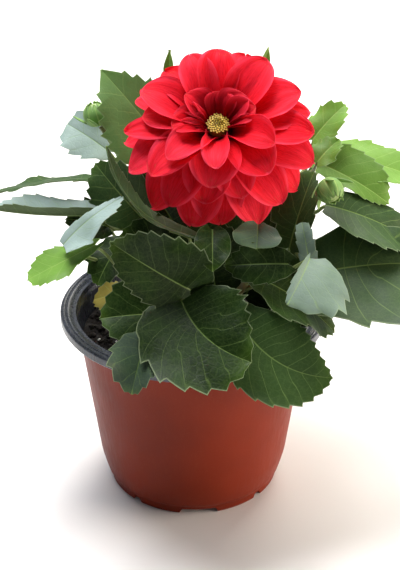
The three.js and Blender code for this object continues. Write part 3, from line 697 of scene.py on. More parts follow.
@dataclass(frozen=True)
class StemSkin:
    """Soft green stem: smooth and half glossy, with fine long fibres and a paler flush on stalks.

    The fibres are drawn coarser than they are, so that they show.
    """

    name: str = "dahlia_stem"
    green: str = "5f8038"
    pale: str = "a9c07a"
    fibre: str = "d2dca6"
    blush: str = "6b3a2a"
    glow: str = "9fc050"
    fibre_mm: float = 0.4545
    blush_mm: float = 22.22

    def material(self) -> bpy.types.Material:
        """Builds the finish. The first tone share turns it pale, and the second turns it dark red-brown.

        Returns:
            The material.
        """
        painter = Painter(self.name)
        add = painter.add
        vector, _, _ = painter.chart("grain")
        pale, red, _, _ = painter.tones()
        long = add(Step.STRETCH, vector, (1.0, 0.06, 1.0))
        fibre = add(Step.NOISE, long, 1.0 / self.fibre_mm, 4.0)
        blush = add(Step.NOISE, add(Step.PLACE), waves(self.blush_mm), 3.0)
        colour = painter.layered(
            tint(self.green),
            (pale, self.pale),
            (add(Step.RAMP, fibre, 0.35, 0.7, 0.0, 0.35), self.fibre),
            (add(Step.TIMES, red, add(Step.RAMP, blush, 0.35, 0.65)), self.blush),
        )
        return painter.finish(
            through=tint(self.glow),
            share=0.12,
            Base_Color=colour,
            Roughness=0.42,
            IOR=1.42,
            Normal=add(Step.RELIEF, fibre, 0.12 * MM, 0.5),
        )


@dataclass(frozen=True)
class PetalVelvet:
    """Dahlia petal: velvety crimson cells that shine softly at a low angle.

    Long faint ribs run from claw to tip and carry a painted highlight that grows towards the tip. The colour
    darkens to nearly black-red at the claw, partly the petal's own colour and partly painted shade where the
    petals crowd, most on the inner petals round the well. The margins carry a pink painted highlight, and a
    few tips show yellowish flecks.
    """

    name: str = "dahlia_petal"
    # Nearly black-red at the claw: the petal's own colour and painted shade.
    deep: str = "5a030c"
    red: str = "f01a2b"
    # Bright red: painted highlight along the ribs.
    bright: str = "ff3049"
    # Pink: the petals' own pinker flush, and the painted highlight along the margins.
    pink: str = "ff5674"
    streak: str = "b0040f"
    # Dark red: painted shade on the inner petals round the well.
    shade: str = "b00012"
    back: str = "e8304c"
    fleck: str = "f0a878"
    glow: str = "ff2030"
    sheen: str = "ff7a90"
    rib_mm: float = 0.909
    streak_mm: float = 0.2941
    cloud_mm: float = 14.286

    def material(self) -> bpy.types.Material:
        """Builds the finish.

        Blade holds the place from middle line to margin and from claw to tip. Tone holds how far inside the
        bloom the petal stands, which gives it painted shade, how pink it is and whether the point is on its back.
        Grain is in millimetres.

        Returns:
            The material.
        """
        painter = Painter(self.name)
        add = painter.add
        vector, _, _ = painter.chart("grain")
        _, out, along = painter.chart("blade")
        inner, _, pink, back = painter.tones()
        long = add(Step.STRETCH, vector, (1.0, 0.09, 1.0))
        ribs = add(Step.NOISE, long, 1.0 / self.rib_mm, 3.0)
        fine = add(Step.NOISE, long, 1.0 / self.streak_mm, 3.0)
        cloud = add(Step.NOISE, add(Step.PLACE), waves(self.cloud_mm), 3.0)
        # Painted shade: on inner petals the dark of the claw reaches further up.
        low = add(Step.PLUS, add(Step.TIMES, inner, 0.24), 0.08)
        high = add(Step.PLUS, add(Step.TIMES, inner, 0.52), 0.43)
        # Painted highlight along the ribs, brighter towards the tip.
        rib_highlight = add(Step.TIMES, add(Step.RAMP, ribs, 0.35, 0.7), add(Step.RAMP, along, 0.3, 0.9))
        # Painted highlight: pink along the margin towards the tip, weaker on the inner petals.
        edge = add(Step.TIMES, add(Step.RAMP, out, 0.7, 1.0), add(Step.RAMP, along, 0.35, 0.8))
        edge = add(Step.TIMES, edge, add(Step.MINUS, 1.0, add(Step.TIMES, inner, 0.5)))
        edge = add(Step.TIMES, edge, add(Step.RAMP, cloud, 0.3, 0.6, 0.2, 0.8))
        fleck = add(Step.TIMES, add(Step.RAMP, along, 0.8, 1.0), add(Step.RAMP, fine, 0.58, 0.72))
        colour = painter.layered(
            tint(self.deep),
            # Darker towards the claw: the petal's own deep red and painted shade.
            (add(Step.RAMP, along, low, high), self.red),
            (add(Step.TIMES, rib_highlight, 0.8), self.bright),
            (add(Step.RAMP, fine, 0.48, 0.68, 0.0, 0.45), self.streak),
            # Painted shade on the inner petals.
            (add(Step.TIMES, inner, 0.5), self.shade),
            # Pink painted highlight along the margin.
            (add(Step.TIMES, edge, 0.85), self.pink),
            (add(Step.TIMES, add(Step.TIMES, pink, 0.45), add(Step.RAMP, along, 0.3, 0.85)), self.pink),
            (add(Step.TIMES, back, 0.4), self.back),
            (add(Step.TIMES, fleck, 0.6), self.fleck),
        )
        height = add(Step.PLUS, add(Step.TIMES, ribs, 0.8), add(Step.TIMES, fine, 0.3))
        return painter.finish(
            through=painter.layered(colour, (0.5, self.glow)),
            share=0.32,
            Base_Color=colour,
            Roughness=0.58,
            IOR=1.4,
            Specular_IOR_Level=0.1,
            Sheen_Weight=0.12,
            Sheen_Roughness=0.4,
            Sheen_Tint=tint(self.sheen),
            Normal=add(Step.RELIEF, height, 0.4 * MM, 0.8),
        )


@dataclass(frozen=True)
class FloretSkin:
    """Disc floret: a wax-coated yellow tube dusted with pollen, greener where still shut, with painted shade at its
    foot where the florets crowd.

    The pollen is drawn coarser than it is, so that it shows.
    """

    name: str = "dahlia_floret"
    yellow: str = "e8bc32"
    orange: str = "b86c2c"
    green: str = "c4bc3c"
    pollen: str = "fae878"
    # Dark brown: painted shade between the florets.
    dark: str = "44280f"
    glow: str = "f0d040"
    pollen_mm: float = 0.5556

    def material(self) -> bpy.types.Material:
        """Builds the finish. Tone holds how green and how orange a floret is, and how much painted shade lies on it.

        Returns:
            The material.
        """
        painter = Painter(self.name)
        add = painter.add
        green, orange, dark, _ = painter.tones()
        grit = add(Step.NOISE, add(Step.PLACE), waves(self.pollen_mm), 4.0)
        dusting = add(Step.RAMP, grit, 0.4, 0.7, 0.0, 0.5)
        colour = painter.layered(
            tint(self.yellow),
            (orange, self.orange),
            (green, self.green),
            (dusting, self.pollen),
            # Painted shade at the floret's foot and on the dome between florets.
            (dark, self.dark),
        )
        return painter.finish(
            through=tint(self.glow),
            share=0.15,
            Base_Color=colour,
            Roughness=0.5,
            IOR=1.4,
            Normal=add(Step.RELIEF, grit, 0.15 * MM, 0.6),
        )


# Pot and potting mix


@dataclass
class NurseryPot:
    """Two-layer thermoformed pot: a terracotta outside and a black inside that is rolled out over the rim."""

    height: float = 95.0
    rim: float = 65.0
    skirt: float = 4.6
    edge_radius: float = 1.3
    lip_inner: float = 59.0
    neck: float = 57.2
    waist: float = 47.4
    waist_height: float = 18.0
    step: float = 44.4
    step_height: float = 6.0
    foot: float = 42.6
    foot_width: float = 3.0
    floor: float = 4.0
    pad: float = 9.0
    wall: float = 1.2
    sides: int = 192
    notch_pairs: int = 4
    wide_notch: float = 17.0
    small_notch: float = 4.0
    notch_height: float = 2.6
    notch_turn: float = 3.7
    drains: int = 8
    drain_radius: float = 3.5
    drain_ring: float = 29.0
    drilled_from: float = 1.0
    drilled_to: float = 8.0
    seam: float = 0.02

    def wall_line(self, offset: float) -> list[tuple[float, float]]:
        """The wall from the floor's edge up to the neck.

        Args:
            offset: How far it is moved inwards.

        Returns:
            Pairs of radius and height.
        """
        heights = np.linspace(self.waist_height, self.height - self.skirt - 1.0, 12)
        slope = (self.neck - self.waist) / (self.height - self.skirt - self.waist_height)
        rows = [(self.waist + slope * (z - self.waist_height) - offset, z) for z in heights]
        low = [
            (self.foot + 0.3 - offset, self.floor + offset * 0.9),
            (self.step - 0.5 - offset, self.step_height - 0.7 + offset * 0.4),
            (self.step - offset, self.step_height + offset * 0.5),
            (self.step + 0.5 - offset, self.step_height + 1.6),
            (self.step + 1.7 - offset, 0.5 * (self.step_height + self.waist_height)),
            (self.waist - 0.55 - offset, self.waist_height - 3.0),
        ]
        return low + [(float(r), float(z)) for r, z in rows]

    def outer(self) -> Patch:
        """The terracotta layer: foot ring with its notches, wall and the underside of the lip.

        Returns:
            Its closed patch.
        """
        top = self.height
        half = self.wall * 0.5
        inner_foot = self.foot - self.foot_width
        profile = [
            (0.0, 0.0),
            (self.pad - 0.6, 0.0),
            (self.pad, 0.25),
            (self.pad + 2.0, self.floor),
            (inner_foot - 0.5, self.floor),
            (inner_foot, self.floor - 0.5),
            (inner_foot, 0.4),
            (inner_foot + 0.4, 0.0),
            (self.foot - 0.5, 0.0),
            (self.foot, 0.5),
            *self.wall_line(0.0),
            (self.neck + 0.2, top - self.skirt),
            (self.neck + 0.7, top - self.wall - 0.8),
            (self.rim - self.wall, top - self.wall - 0.6),
            (self.rim - self.wall, top - self.wall - 0.1),
            (self.neck + 0.2, top - self.wall - 0.1),
            (self.neck - half, top - self.skirt),
            *self.wall_line(half)[::-1],
            (self.foot - self.wall, self.floor + half),
            (0.0, self.floor + half),
        ]
        return self.notched(lathe(profile, self.sides))

    def notched(self, patch: Patch) -> Patch:
        """Lifts the foot ring's lowest points over the notches: z is at least the notch's height there.

        Args:
            patch: The terracotta layer.

        Returns:
            The same patch with its notches.
        """
        points = patch.points
        radius = np.hypot(points[:, 0], points[:, 1])
        angle = np.degrees(np.arctan2(points[:, 1], points[:, 0])) + 90.0 - self.notch_turn
        turn = 360.0 / self.notch_pairs
        ring = (radius > self.foot - self.foot_width - 0.2) & (points[:, 2] < self.notch_height)
        for offset, width in ((0.0, self.wide_notch), (0.5, self.small_notch)):
            away = np.abs((angle / turn - offset + 0.5) % 1.0 - 0.5) * turn
            inside = ring & (np.radians(away) * self.foot < width / 2.0)
            points[:, 2] = np.where(inside, self.notch_height + points[:, 2] * 0.1, points[:, 2])
        return patch

    def inner(self) -> Patch:
        """The black layer: the inside, the rolled rim with its ridge and groove, and the skirt.

        It stands off the terracotta layer by the seam, a hair.

        Returns:
            Its closed patch.
        """
        top = self.height
        half = self.wall * 0.5
        seam = self.seam
        bend = np.linspace(0.0, math.pi / 2.0, 7)
        edge = self.edge_radius
        roll = [(self.rim - edge + edge * math.cos(a), top - edge + edge * math.sin(a)) for a in bend]
        profile = [
            (0.0, self.floor + half + seam),
            (self.foot - self.wall - seam, self.floor + half + seam),
            *[(r - seam, z + seam) for r, z in self.wall_line(half)],
            (self.neck - half - seam, top - self.skirt),
            (self.neck + 0.2 - seam, top - self.wall - 0.06),
            (self.rim - self.wall, top - self.wall - 0.06),
            (self.rim - self.wall, top - self.skirt + 0.2),
            (self.rim - self.wall + 0.2, top - self.skirt),
            (self.rim - 0.3, top - self.skirt),
            (self.rim, top - self.skirt + 0.4),
            *roll,
            (self.rim - 2.0, top),
            (self.rim - 2.35, top - 0.18),
            (self.rim - 2.6, top - 0.5),
            (self.rim - 3.0, top - 0.5),
            (self.rim - 3.3, top - 0.15),
            (self.rim - 3.9, top - 0.12),
            (self.lip_inner + 1.2, top - 0.6),
            (self.lip_inner, top - 1.2),
            (self.neck + 0.6, top - 2.2),
            (self.neck - 0.5, top - 3.8),
            (self.neck - self.wall, top - self.skirt - 1.2),
            *self.wall_line(self.wall)[::-1],
            (self.foot - self.wall - 1.0, self.floor + self.wall),
            (0.0, self.floor + self.wall),
        ]
        return lathe(profile, self.sides)

    def drilled(self, piece: bpy.types.Object) -> None:
        """Cuts the drain holes through the floor and keeps the result in the mesh.

        Args:
            piece: One layer of the pot.
        """
        pegs = []
        low, high = self.drilled_from, self.drilled_to
        for k in range(self.drains):
            angle = (k + 0.5) * 2.0 * math.pi / self.drains
            peg = lathe([(0, low), (self.drain_radius, low), (self.drain_radius, high), (0, high)], 40)
            peg.points = peg.points + [self.drain_ring * math.cos(angle), self.drain_ring * math.sin(angle), 0.0]
            pegs.append(peg)
        cutter = make_piece("drain_pegs", pegs, [])
        cut = piece.modifiers.new("drains", "BOOLEAN")
        cut.operation = "DIFFERENCE"
        cut.object = cutter
        cut.solver = "EXACT"
        graph = bpy.context.evaluated_depsgraph_get()
        mesh = bpy.data.meshes.new_from_object(piece.evaluated_get(graph))
        piece.modifiers.clear()
        piece.data = mesh
        bpy.data.objects.remove(cutter)

    def build(self) -> None:
        """Makes both layers."""
        terracotta = FormedPlastic(
            "formed_polypropylene_terracotta", "79250c", "6b1f09", "a87050", roughness=0.46, dust_share=0.04, shine=0.16
        )
        black = FormedPlastic(
            "formed_polypropylene_black", "252a35", "1a1d26", "76839c", roughness=0.3, dust_share=0.18, shine=0.7
        )
        for name, patch, finish, slot in (
            ("pot_shell", self.outer(), terracotta, "pot_terracotta"),
            ("pot_lining", self.inner(), black, "pot_black"),
        ):
            piece = make_piece(name, [patch], [finish.material()], sharp=35.0)
            self.drilled(piece)
            dress(piece, slot, "pot")


@dataclass
class PottingMix:
    """Peat that fills the pot to below its rim: a low mound under crumbs, bark bits and perlite.

    Each of ripples is a height, a length and a seed, and wall_space keeps the crumbs off the wall.
    """

    pot: NurseryPot
    edge: float = 80.0
    mound: float = 4.0
    lump: float = 1.0
    gap: float = 0.3
    rings: int = 60
    sides: int = 180
    ripples: tuple[tuple[float, float, int], ...] = ((0.55, 4.5, 3), (0.35, 1.9, 4))
    crumbs: int = 1500
    perlite: int = 46
    wall_space: float = 1.6
    seed: int = 11

    def radius(self, z: float) -> float:
        """Radius of the mix over the waist: the pot's inner wall less the gap.

        Args:
            z: Height.

        Returns:
            The radius.
        """
        pot = self.pot
        share = (z - pot.waist_height) / (pot.height - pot.skirt - 1.0 - pot.waist_height)
        return pot.waist + (pot.neck - pot.waist) * share - pot.wall - self.gap

    def surface(self, x: np.ndarray, y: np.ndarray) -> np.ndarray:
        """Height of the mix: edge + mound (1 - s squared) + (swell + ripples) (1 - s to the 6).

        Args:
            x: Places to the right.
            y: Places to the back.

        Returns:
            Heights, with s the share of the way to the wall.
        """
        share = np.minimum(1.0, np.hypot(x, y) / self.radius(self.edge))
        swell = np.sin(x * 0.53 + 1.0) * np.sin(y * 0.61 + 2.0) + 0.6 * np.sin(x * 0.23 - y * 0.31)
        place = np.stack([x, y, np.zeros_like(x)], axis=-1)
        crumbly = sum(height * ripple(place, length, seed) for height, length, seed in self.ripples)
        fade = 1.0 - share**6
        return self.edge + self.mound * (1.0 - share**2) + (self.lump * swell + crumbly) * fade

    def body(self) -> Patch:
        """The fill with its uneven top.

        Returns:
            Its closed patch.
        """
        pot = self.pot
        low = pot.floor + pot.wall + self.gap
        top = self.radius(self.edge)
        rings = [(top * (1.0 - k / self.rings), self.edge + 1.0) for k in range(1, self.rings)]
        profile = [
            (0.0, low),
            (pot.foot - pot.wall - 0.6, low),
            (pot.step - pot.wall - self.gap * 1.4, pot.step_height + pot.wall + 0.2),
            (self.radius(pot.waist_height), pot.waist_height),
            (top, self.edge),
            *rings,
            (0.0, self.edge + 1.0),
        ]
        patch = lathe(profile, self.sides)
        x, y, z = patch.points.T
        patch.points[:, 2] = np.where(z > self.edge, self.surface(x, y), z)
        return patch

    def lumps(self) -> list[Patch]:
        """Crumbs and perlite: small uneven balls of four rings of seven points, half sunk into the surface.

        Returns:
            One patch for them all.
        """
        rng = np.random.default_rng(self.seed)
        count = self.crumbs + self.perlite
        reach = self.radius(self.edge) - self.wall_space
        spread = reach * np.sqrt(rng.uniform(0.0, 1.0, count))
        angle = rng.uniform(0.0, 2.0 * math.pi, count)
        x, y = spread * np.cos(angle), spread * np.sin(angle)
        size = rng.uniform(0.35, 1.25, count) ** 1.6 + 0.25
        size[self.crumbs :] = rng.uniform(0.7, 1.5, self.perlite)
        tilt, turn = np.meshgrid(np.linspace(0.0, math.pi, 6)[1:-1], np.arange(7) * 2.0 * math.pi / 7.0, indexing="ij")
        ball = np.stack([np.sin(tilt) * np.cos(turn), np.sin(tilt) * np.sin(turn), -np.cos(tilt)], -1).reshape(-1, 3)
        ball = np.vstack([ball, [0, 0, -1], [0, 0, 1]])
        shape = lathe([(0, -1), (1, -0.5), (1, -0.1), (1, 0.2), (1, 0.5), (0, 1)], 7)
        uneven = 1.0 + rng.uniform(-0.28, 0.28, (count, len(ball)))
        stretch = rng.uniform(0.6, 1.35, (count, 1, 3))
        flat = ball[None] * uneven[..., None] * stretch * size[:, None, None]
        spin = rng.uniform(0.0, 2.0 * math.pi, (count, 1))
        turned = np.stack(
            [
                flat[..., 0] * np.cos(spin) - flat[..., 1] * np.sin(spin),
                flat[..., 0] * np.sin(spin) + flat[..., 1] * np.cos(spin),
                flat[..., 2] * 0.8,
            ],
            axis=-1,
        )
        centre = np.stack([x, y, self.surface(x, y) + size * 0.15], axis=-1)
        points = (turned + centre[:, None]).reshape(-1, 3)
        step = len(ball) * np.arange(count)[:, None, None]
        faces = [(block[None] + step).reshape(-1, block.shape[1]) for block in shape.faces]
        tone = np.zeros((count, len(ball), 4))
        tone[..., 0] = rng.uniform(0.0, 0.9, (count, 1))
        tone[self.crumbs :, :, 1] = 1.0
        return [Patch(points, faces, points[:, :2], tone.reshape(-1, 4))]

    def build(self) -> None:
        """Makes the mix."""
        piece = make_piece("potting_mix_fill", [self.body(), *self.lumps()], [PeatMix().material()], sharp=80.0)
        dress(piece, "potting_mix", "potting_mix")


# Leaves and stems


class Tone(Enum):
    """How a leaf looks, as shares: how fresh, how lime, and how much pale blue-grey painted sky reflection lies on it.
    How fresh is partly the leaf's own green and partly painted shade, as DARK and SHADE are the darker copies given to
    leaves that sit in shade.
    """

    # Darkest: partly the leaf's own deep green, partly painted shade.
    DARK = (0.1, 0.0, 0.0)
    SHADE = (0.36, 0.03, 0.05)
    MID = (0.42, 0.04, 0.04)
    BRIGHT = (0.8, 0.36, 0.16)
    MEADOW = (0.62, 0.38, 0.05)
    LIME = (0.66, 0.6, 0.07)
    # This tone and the next two, and PALEST, carry the most painted sky reflection.
    SKY = (0.2, 0.0, 0.72)
    MOSTLY_SKY = (0.2, 0.0, 0.92)
    HALF_SKY = (0.35, 0.05, 0.48)
    FOLDED = (0.62, 0.08, 0.1)
    TWO = (0.15, 0.0, 0.12)
    CUPPED = (0.5, 0.06, 0.3)
    PALEST = (0.3, 0.0, 1.05)
    YELLOW = (1.0, 1.0, 0.0)


class Wear(IntEnum):
    """Which material of a stem's piece a patch wears."""

    UPPER = 0
    LOWER = 1
    STEM = 2


# The count of side veins on a blade that has none: a fraction that lies far from any vein.
NO_VEIN = 2.25


@dataclass(frozen=True)
class Leaf:
    """One leaf: where its stalk leaves the stem, its base, tip and the way that its upper side faces.

    blunt and taper are the powers of its outline towards the base and the tip, halves multiplies the width
    of its left and right half, crown is where its last tooth ends, advance and lobes say how far a row of
    the blade runs ahead and falls back on its way to the margin, and bite is the depth of the teeth.
    """

    leaves_at: float
    base: Point
    tip: Point
    face: Point
    width: float
    tone: Tone
    arch: float = 0.07
    sway: float = 0.0
    fold: float = 10.0
    droop: float = 0.12
    wave: float = 1.2
    lobes: float = 0.08
    blunt: float = 0.54
    taper: float = 1.15
    halves: tuple[float, float] = (1.0, 1.0)
    entire: bool = False
    pairs: int = 0
    crown: float = 0.94
    advance: float = 0.15
    bite: float = 0.42
    first_tooth: float = 0.1
    tooth_top: float = 0.8
    thickness: float = 0.5
    keel: float = 0.9
    stalk: tuple[float, float] = (1.15, 0.65)
    ripple_height: float = 0.8
    ripple_length: float = 17.0

    @property
    def length(self) -> float:
        """Straight length from base to tip."""
        return math.dist(self.base, self.tip)

    @property
    def teeth(self) -> int:
        """Teeth on each side, one for about 6 mm of length where no count is given."""
        return self.pairs or int(np.clip(round(self.length / 6.0), 4, 8))

    def half_width(self, u: np.ndarray) -> np.ndarray:
        """Half the width at a share of the length: u to the blunt times (1 - u) to the taper, scaled to 1.

        Args:
            u: Shares of the length.

        Returns:
            Half widths in millimetres.
        """
        widest = self.blunt / (self.blunt + self.taper)
        rise = (np.clip(u, 0.0, 1.0) / widest) ** self.blunt
        return self.width / 2.0 * rise * ((1.0 - np.clip(u, 0.0, 1.0)) / (1.0 - widest)) ** self.taper

    def surface(self, u: np.ndarray, x: np.ndarray) -> np.ndarray:
        """The blade's middle surface.

        The midrib is a parabola from base to tip that arches towards the face. Off it a point lies x along
        the side and is lifted by |x| sin(fold) - droop x squared / half width + a wave along the margin.

        Args:
            u: Share of the length.
            x: Distance from the midrib in millimetres.

        Returns:
            Points.
        """
        base, tip = np.array(self.base, float), np.array(self.tip, float)
        length = self.length
        along = (tip - base) / length
        up = np.array(self.face, float)
        up = unit(up - along * float(up @ along))
        side = np.cross(up, along)
        bend = (base + tip) / 2.0 + up * self.arch * length * 2.0 + side * self.sway * length * 2.0
        u, x = u[..., None], x[..., None]
        middle = base * (1 - u) ** 2 + bend * 2 * u * (1 - u) + tip * u**2
        tangent = unit((bend - base) * (1 - u) + (tip - bend) * u)
        across = unit(np.cross(up, tangent))
        normal = np.cross(tangent, across)
        share = x / (self.width / 2.0)
        tilt = math.radians(self.fold)
        wave = self.wave * share**2 * np.sin(3.0 * math.pi * u + np.where(x < 0, 1.9, 0.0))
        lift = np.abs(x) * math.sin(tilt) - self.droop * x * share * np.sign(x) + wave
        return middle + across * x * math.cos(tilt) + normal * lift

    def outline(self, rng: np.random.Generator) -> tuple[np.ndarray, np.ndarray, np.ndarray, np.ndarray]:
        """Rows of the blade, with six to each tooth.

        A tooth rises slowly to its point at tooth_top, as its part p over tooth_top to the 1.2, and falls
        back fast. The point leans towards the tip.

        Args:
            rng: Seeded draws for uneven teeth.

        Returns:
            Shares u of the length, counts of teeth, half widths (rows by two) and how far each row leans into
            its tooth.
        """
        top = self.tooth_top
        steps = np.array([0.0, 0.2, 0.42, 0.64, top, 0.88])
        count = self.teeth
        phase = (np.arange(count)[:, None] + steps[None]).ravel()
        phase = np.concatenate([np.linspace(-1.0, -0.2, 5), phase, count + np.array([0.0, 0.35, 0.7, 1.0])])
        first = self.first_tooth
        u = np.where(phase < 0, first * (1 + phase), first + (self.crown - first) * phase / count)
        u = np.where(phase > count, self.crown + (1.0 - self.crown) * (phase - count), u)
        part = phase - np.floor(phase)
        tooth = np.where(part < top, (part / top) ** 1.2, 1.0 - (np.maximum(part - top, 0.0) / (1.0 - top)) ** 0.8)
        live = np.where((phase > 0) & (phase < count) & (not self.entire), 1.0, 0.0)
        depth = self.bite * self.width / count * (1.0 - 0.5 * u) * live
        uneven = rng.uniform(0.65, 1.3, (count + 3, 2))[np.clip(np.floor(phase).astype(int) + 1, 0, count + 2)]
        margin = self.half_width(np.maximum(u, 0.03))
        half = np.maximum(margin[:, None] + depth[:, None] * (tooth[:, None] - 0.45) * uneven, 0.35)
        half[0] = self.half_width(np.array([0.015]))
        half[-1] = 0.25
        lean = 0.22 / count * tooth * live * (1.0 - 0.5 * u)
        return u, phase, half, lean

    def drift(self, u: np.ndarray) -> np.ndarray:
        """How far ahead of its place on the midrib a row meets the margin: 4 a u (1 - u) - 1.6 b (1 - u)^4."""
        return self.advance * 4.0 * u * (1.0 - u) - self.lobes * 1.6 * (1.0 - u) ** 4

    def vein_count(self, share: np.ndarray, size: np.ndarray, u: np.ndarray, phase: np.ndarray) -> np.ndarray:
        """Counts side veins, each of which bends forward from the midrib into its own tooth.

        A point at share s is on the vein that meets the margin at s + k (1 - s) (1 - size to the 1.3), where k
        grows from 0 at the base to half the width over the length.

        Args:
            share: Places along the midrib.
            size: Places from midrib to margin, from 0 to 1.
            u: Shares of the rows.
            phase: Counts of the rows.

        Returns:
            The count for each place.
        """
        spread = min(0.7, 0.6 * self.width / self.length) * smooth(0.0, 0.4, share) * (1.0 - share)
        meets = share + spread * (1.0 - size**1.3)
        return np.interp(meets, u + self.drift(u), phase) - 0.2

    def blade(self, seed: int) -> list[Patch]:
        """The closed blade, which thins to its margin, with the midrib a faint groove above and a keel below.

        A row lies at u + drift(u) s to the 1.35 + its tooth's lean s to the 6, where s grows from 0 at the
        midrib to 1 at the margin.

        Args:
            seed: Seed of its draws.

        Returns:
            Its patches.
        """
        rng = np.random.default_rng(seed)
        u, phase, half, lean = self.outline(rng)
        positive = np.array([0.0, 0.03, 0.08, 0.17, 0.29, 0.42, 0.56, 0.68, 0.79, 0.88, 0.95, 0.985, 1.0])
        v = np.concatenate([-positive[:0:-1], positive])
        reach = np.where(v < 0, half[:, :1] * self.halves[0], half[:, 1:] * self.halves[1])
        size = np.broadcast_to(np.abs(v), reach.shape)
        share = u[:, None] + self.drift(u)[:, None] * size**1.35 + lean[:, None] * size**6
        share = np.clip(share, -0.35, 1.0)
        x = v * reach
        rib = np.exp(-((x / 0.8) ** 2)) * (1.0 - 0.7 * np.clip(u, 0.0, 1.0)[:, None])
        middle = self.surface(share, x)
        uneven = ripple(middle, self.ripple_length, seed + 5) * self.ripple_height * size**1.5
        normal = unit(np.cross(np.gradient(middle, axis=0), np.gradient(middle, axis=1)))
        middle = middle + normal * uneven[..., None]
        thin = self.thickness * (0.5 - 0.3 * smooth(0.8, 1.0, size))
        grain = np.stack([x, share * self.length + 3.0 * seed], axis=-1)
        fresh, lime, sky_sheen = self.tone.value
        tone = np.zeros((*x.shape, 4))
        tone[..., 0] = np.clip(fresh + rng.uniform(-0.06, 0.06), 0.0, 1.0)
        tone[..., 1] = np.clip(lime + 0.12 * smooth(0.8, 1.0, share), 0.0, 1.0)
        # Third share: painted sky reflection.
        tone[..., 2] = sky_sheen
        tone[..., 3] = self.vein_count(share, size, u, phase) + 2.0
        blade = np.stack([size, np.clip(share, 0.0, 1.0)], axis=-1)
        return shell(middle, thin - 0.1 * rib, thin + self.keel * rib, grain, tone, blade, (Wear.UPPER, Wear.LOWER))

    def under(self, u: float, depth: float) -> np.ndarray:
        """A point below the midrib.

        Args:
            u: Share of the length.
            depth: How far below the blade.

        Returns:
            The point.
        """
        step = 0.01
        at = self.surface(np.array([u, u + step, u - step, u, u]), np.array([0.0, 0.0, 0.0, step, -step]))
        return at[0] - unit(np.cross(at[1] - at[2], at[3] - at[4])) * depth

    def petiole(self, root: np.ndarray) -> Patch:
        """The stalk: a smooth path from the stem that ends in the midrib, thickest where it leaves the stem.

        Args:
            root: Where it leaves the stem.

        Returns:
            The closed tube.
        """
        base = self.under(0.0, self.keel)
        reach = float(np.linalg.norm(base - root))
        below = unit(self.under(0.1, 2.0) - self.under(0.1, 0.0))
        middle = root + (base - root) * 0.6 + below * reach * 0.14
        shares = np.linspace(0.0, 1.0, 28)
        path = SmoothPath([root, middle, base, self.under(0.14, self.keel)]).at(shares)
        radii = np.linspace(*self.stalk, len(shares)) + 0.9 * np.exp(-14.0 * shares)
        return tube(path, radii, 12, (0.1, 0.3), Wear.STEM)


@dataclass(frozen=True)
class Bud:
    """A shut flower bud: a ball wrapped in striped pointed bracts, with five more that stand off its base.

    A size is the length and width of a bract as multiples of the ball's radius.
    """

    at: Point
    axis: Point
    radius: float
    wraps: int = 9
    wrap_size: tuple[float, float] = (1.78, 1.0)
    outers: int = 5
    outer_size: tuple[float, float] = (1.15, 0.62)
    outer_spread: float = 46.0

    def frame(self) -> tuple[np.ndarray, np.ndarray, np.ndarray]:
        """Works out the bud's own directions.

        Returns:
            Its axis and two directions square to it.
        """
        axis = unit(np.array(self.axis, float))
        side = unit(np.cross(axis, [0.2, 0.9, 0.3]))
        return axis, side, np.cross(axis, side)

    def core(self) -> Patch:
        """The ball: r = R sqrt(1 - h squared).

        Returns:
            Its closed patch.
        """
        axis, _, _ = self.frame()
        h = np.linspace(-0.96, 0.97, 16)
        path = np.array(self.at) + axis * (h * self.radius * 0.93)[:, None]
        return tube(path, self.radius * 0.9 * np.sqrt(1.0 - h**2), 24, (0.45, 0.0), Wear.STEM)

    def bract(self, azimuth: float, spread: float, length: float, width: float, seed: int) -> list[Patch]:
        """One bract: it climbs the ball at its radius, leans out by tan(spread) u to the 1.4, and narrows to its tip.

        Args:
            azimuth: Degrees about the axis.
            spread: Degrees by which it leans away from the ball.
            length: Its length as a multiple of the radius.
            width: Its width as a multiple of the radius.
            seed: Moves its pattern.

        Returns:
            Its patches.
        """
        axis, side, other = self.frame()
        u, v = np.meshgrid(np.linspace(0.0, 1.0, 14), np.linspace(-1.0, 1.0, 9), indexing="ij")
        half = 0.5 * width * np.sin(math.pi * np.clip(u * 0.86 + 0.14, 0, 1)) ** 0.7 * (1.0 - 0.25 * u)
        half = np.maximum(half, 0.02)
        climb = -0.75 + u * length
        hug = np.sqrt(np.clip(1.0 - np.clip(climb, -0.9, 0.93) ** 2, 0.05, 1.0))
        lean = math.tan(math.radians(spread)) * u**1.4
        radius = self.radius * (hug * 0.94 + 0.05 + lean * length * 0.8)
        angle = math.radians(azimuth) + v * half / np.maximum(radius / self.radius, 0.35)
        out = side * np.cos(angle)[..., None] + other * np.sin(angle)[..., None]
        middle = np.array(self.at) + out * radius[..., None] + axis * (climb * self.radius)[..., None]
        # The third share lays a little painted sky reflection on the bracts.
        tone = np.broadcast_to([0.9, 0.72, 0.22, NO_VEIN], (*u.shape, 4))
        grain = np.stack([v * half * self.radius, u * length * self.radius + 7.0 * seed], axis=-1)
        thick = 0.18 + 0.1 * (1.0 - np.abs(v))
        blade = np.stack([np.abs(v), u], axis=-1)
        return shell(middle, thick, thick, grain, tone, blade, (Wear.UPPER, Wear.UPPER))

    def patches(self) -> list[Patch]:
        """The ball, the bracts that wrap it and those that stand off.

        Returns:
            All of the bud.
        """
        parts = [self.core()]
        for k in range(self.wraps):
            parts += self.bract(k * 360.0 / self.wraps, 1.5 + (k % 2) * 3.0, *self.wrap_size, k)
        for k in range(self.outers):
            turn = k * 360.0 / self.outers + 20.0
            parts += self.bract(turn, self.outer_spread, *self.outer_size, k + 20)
        return parts


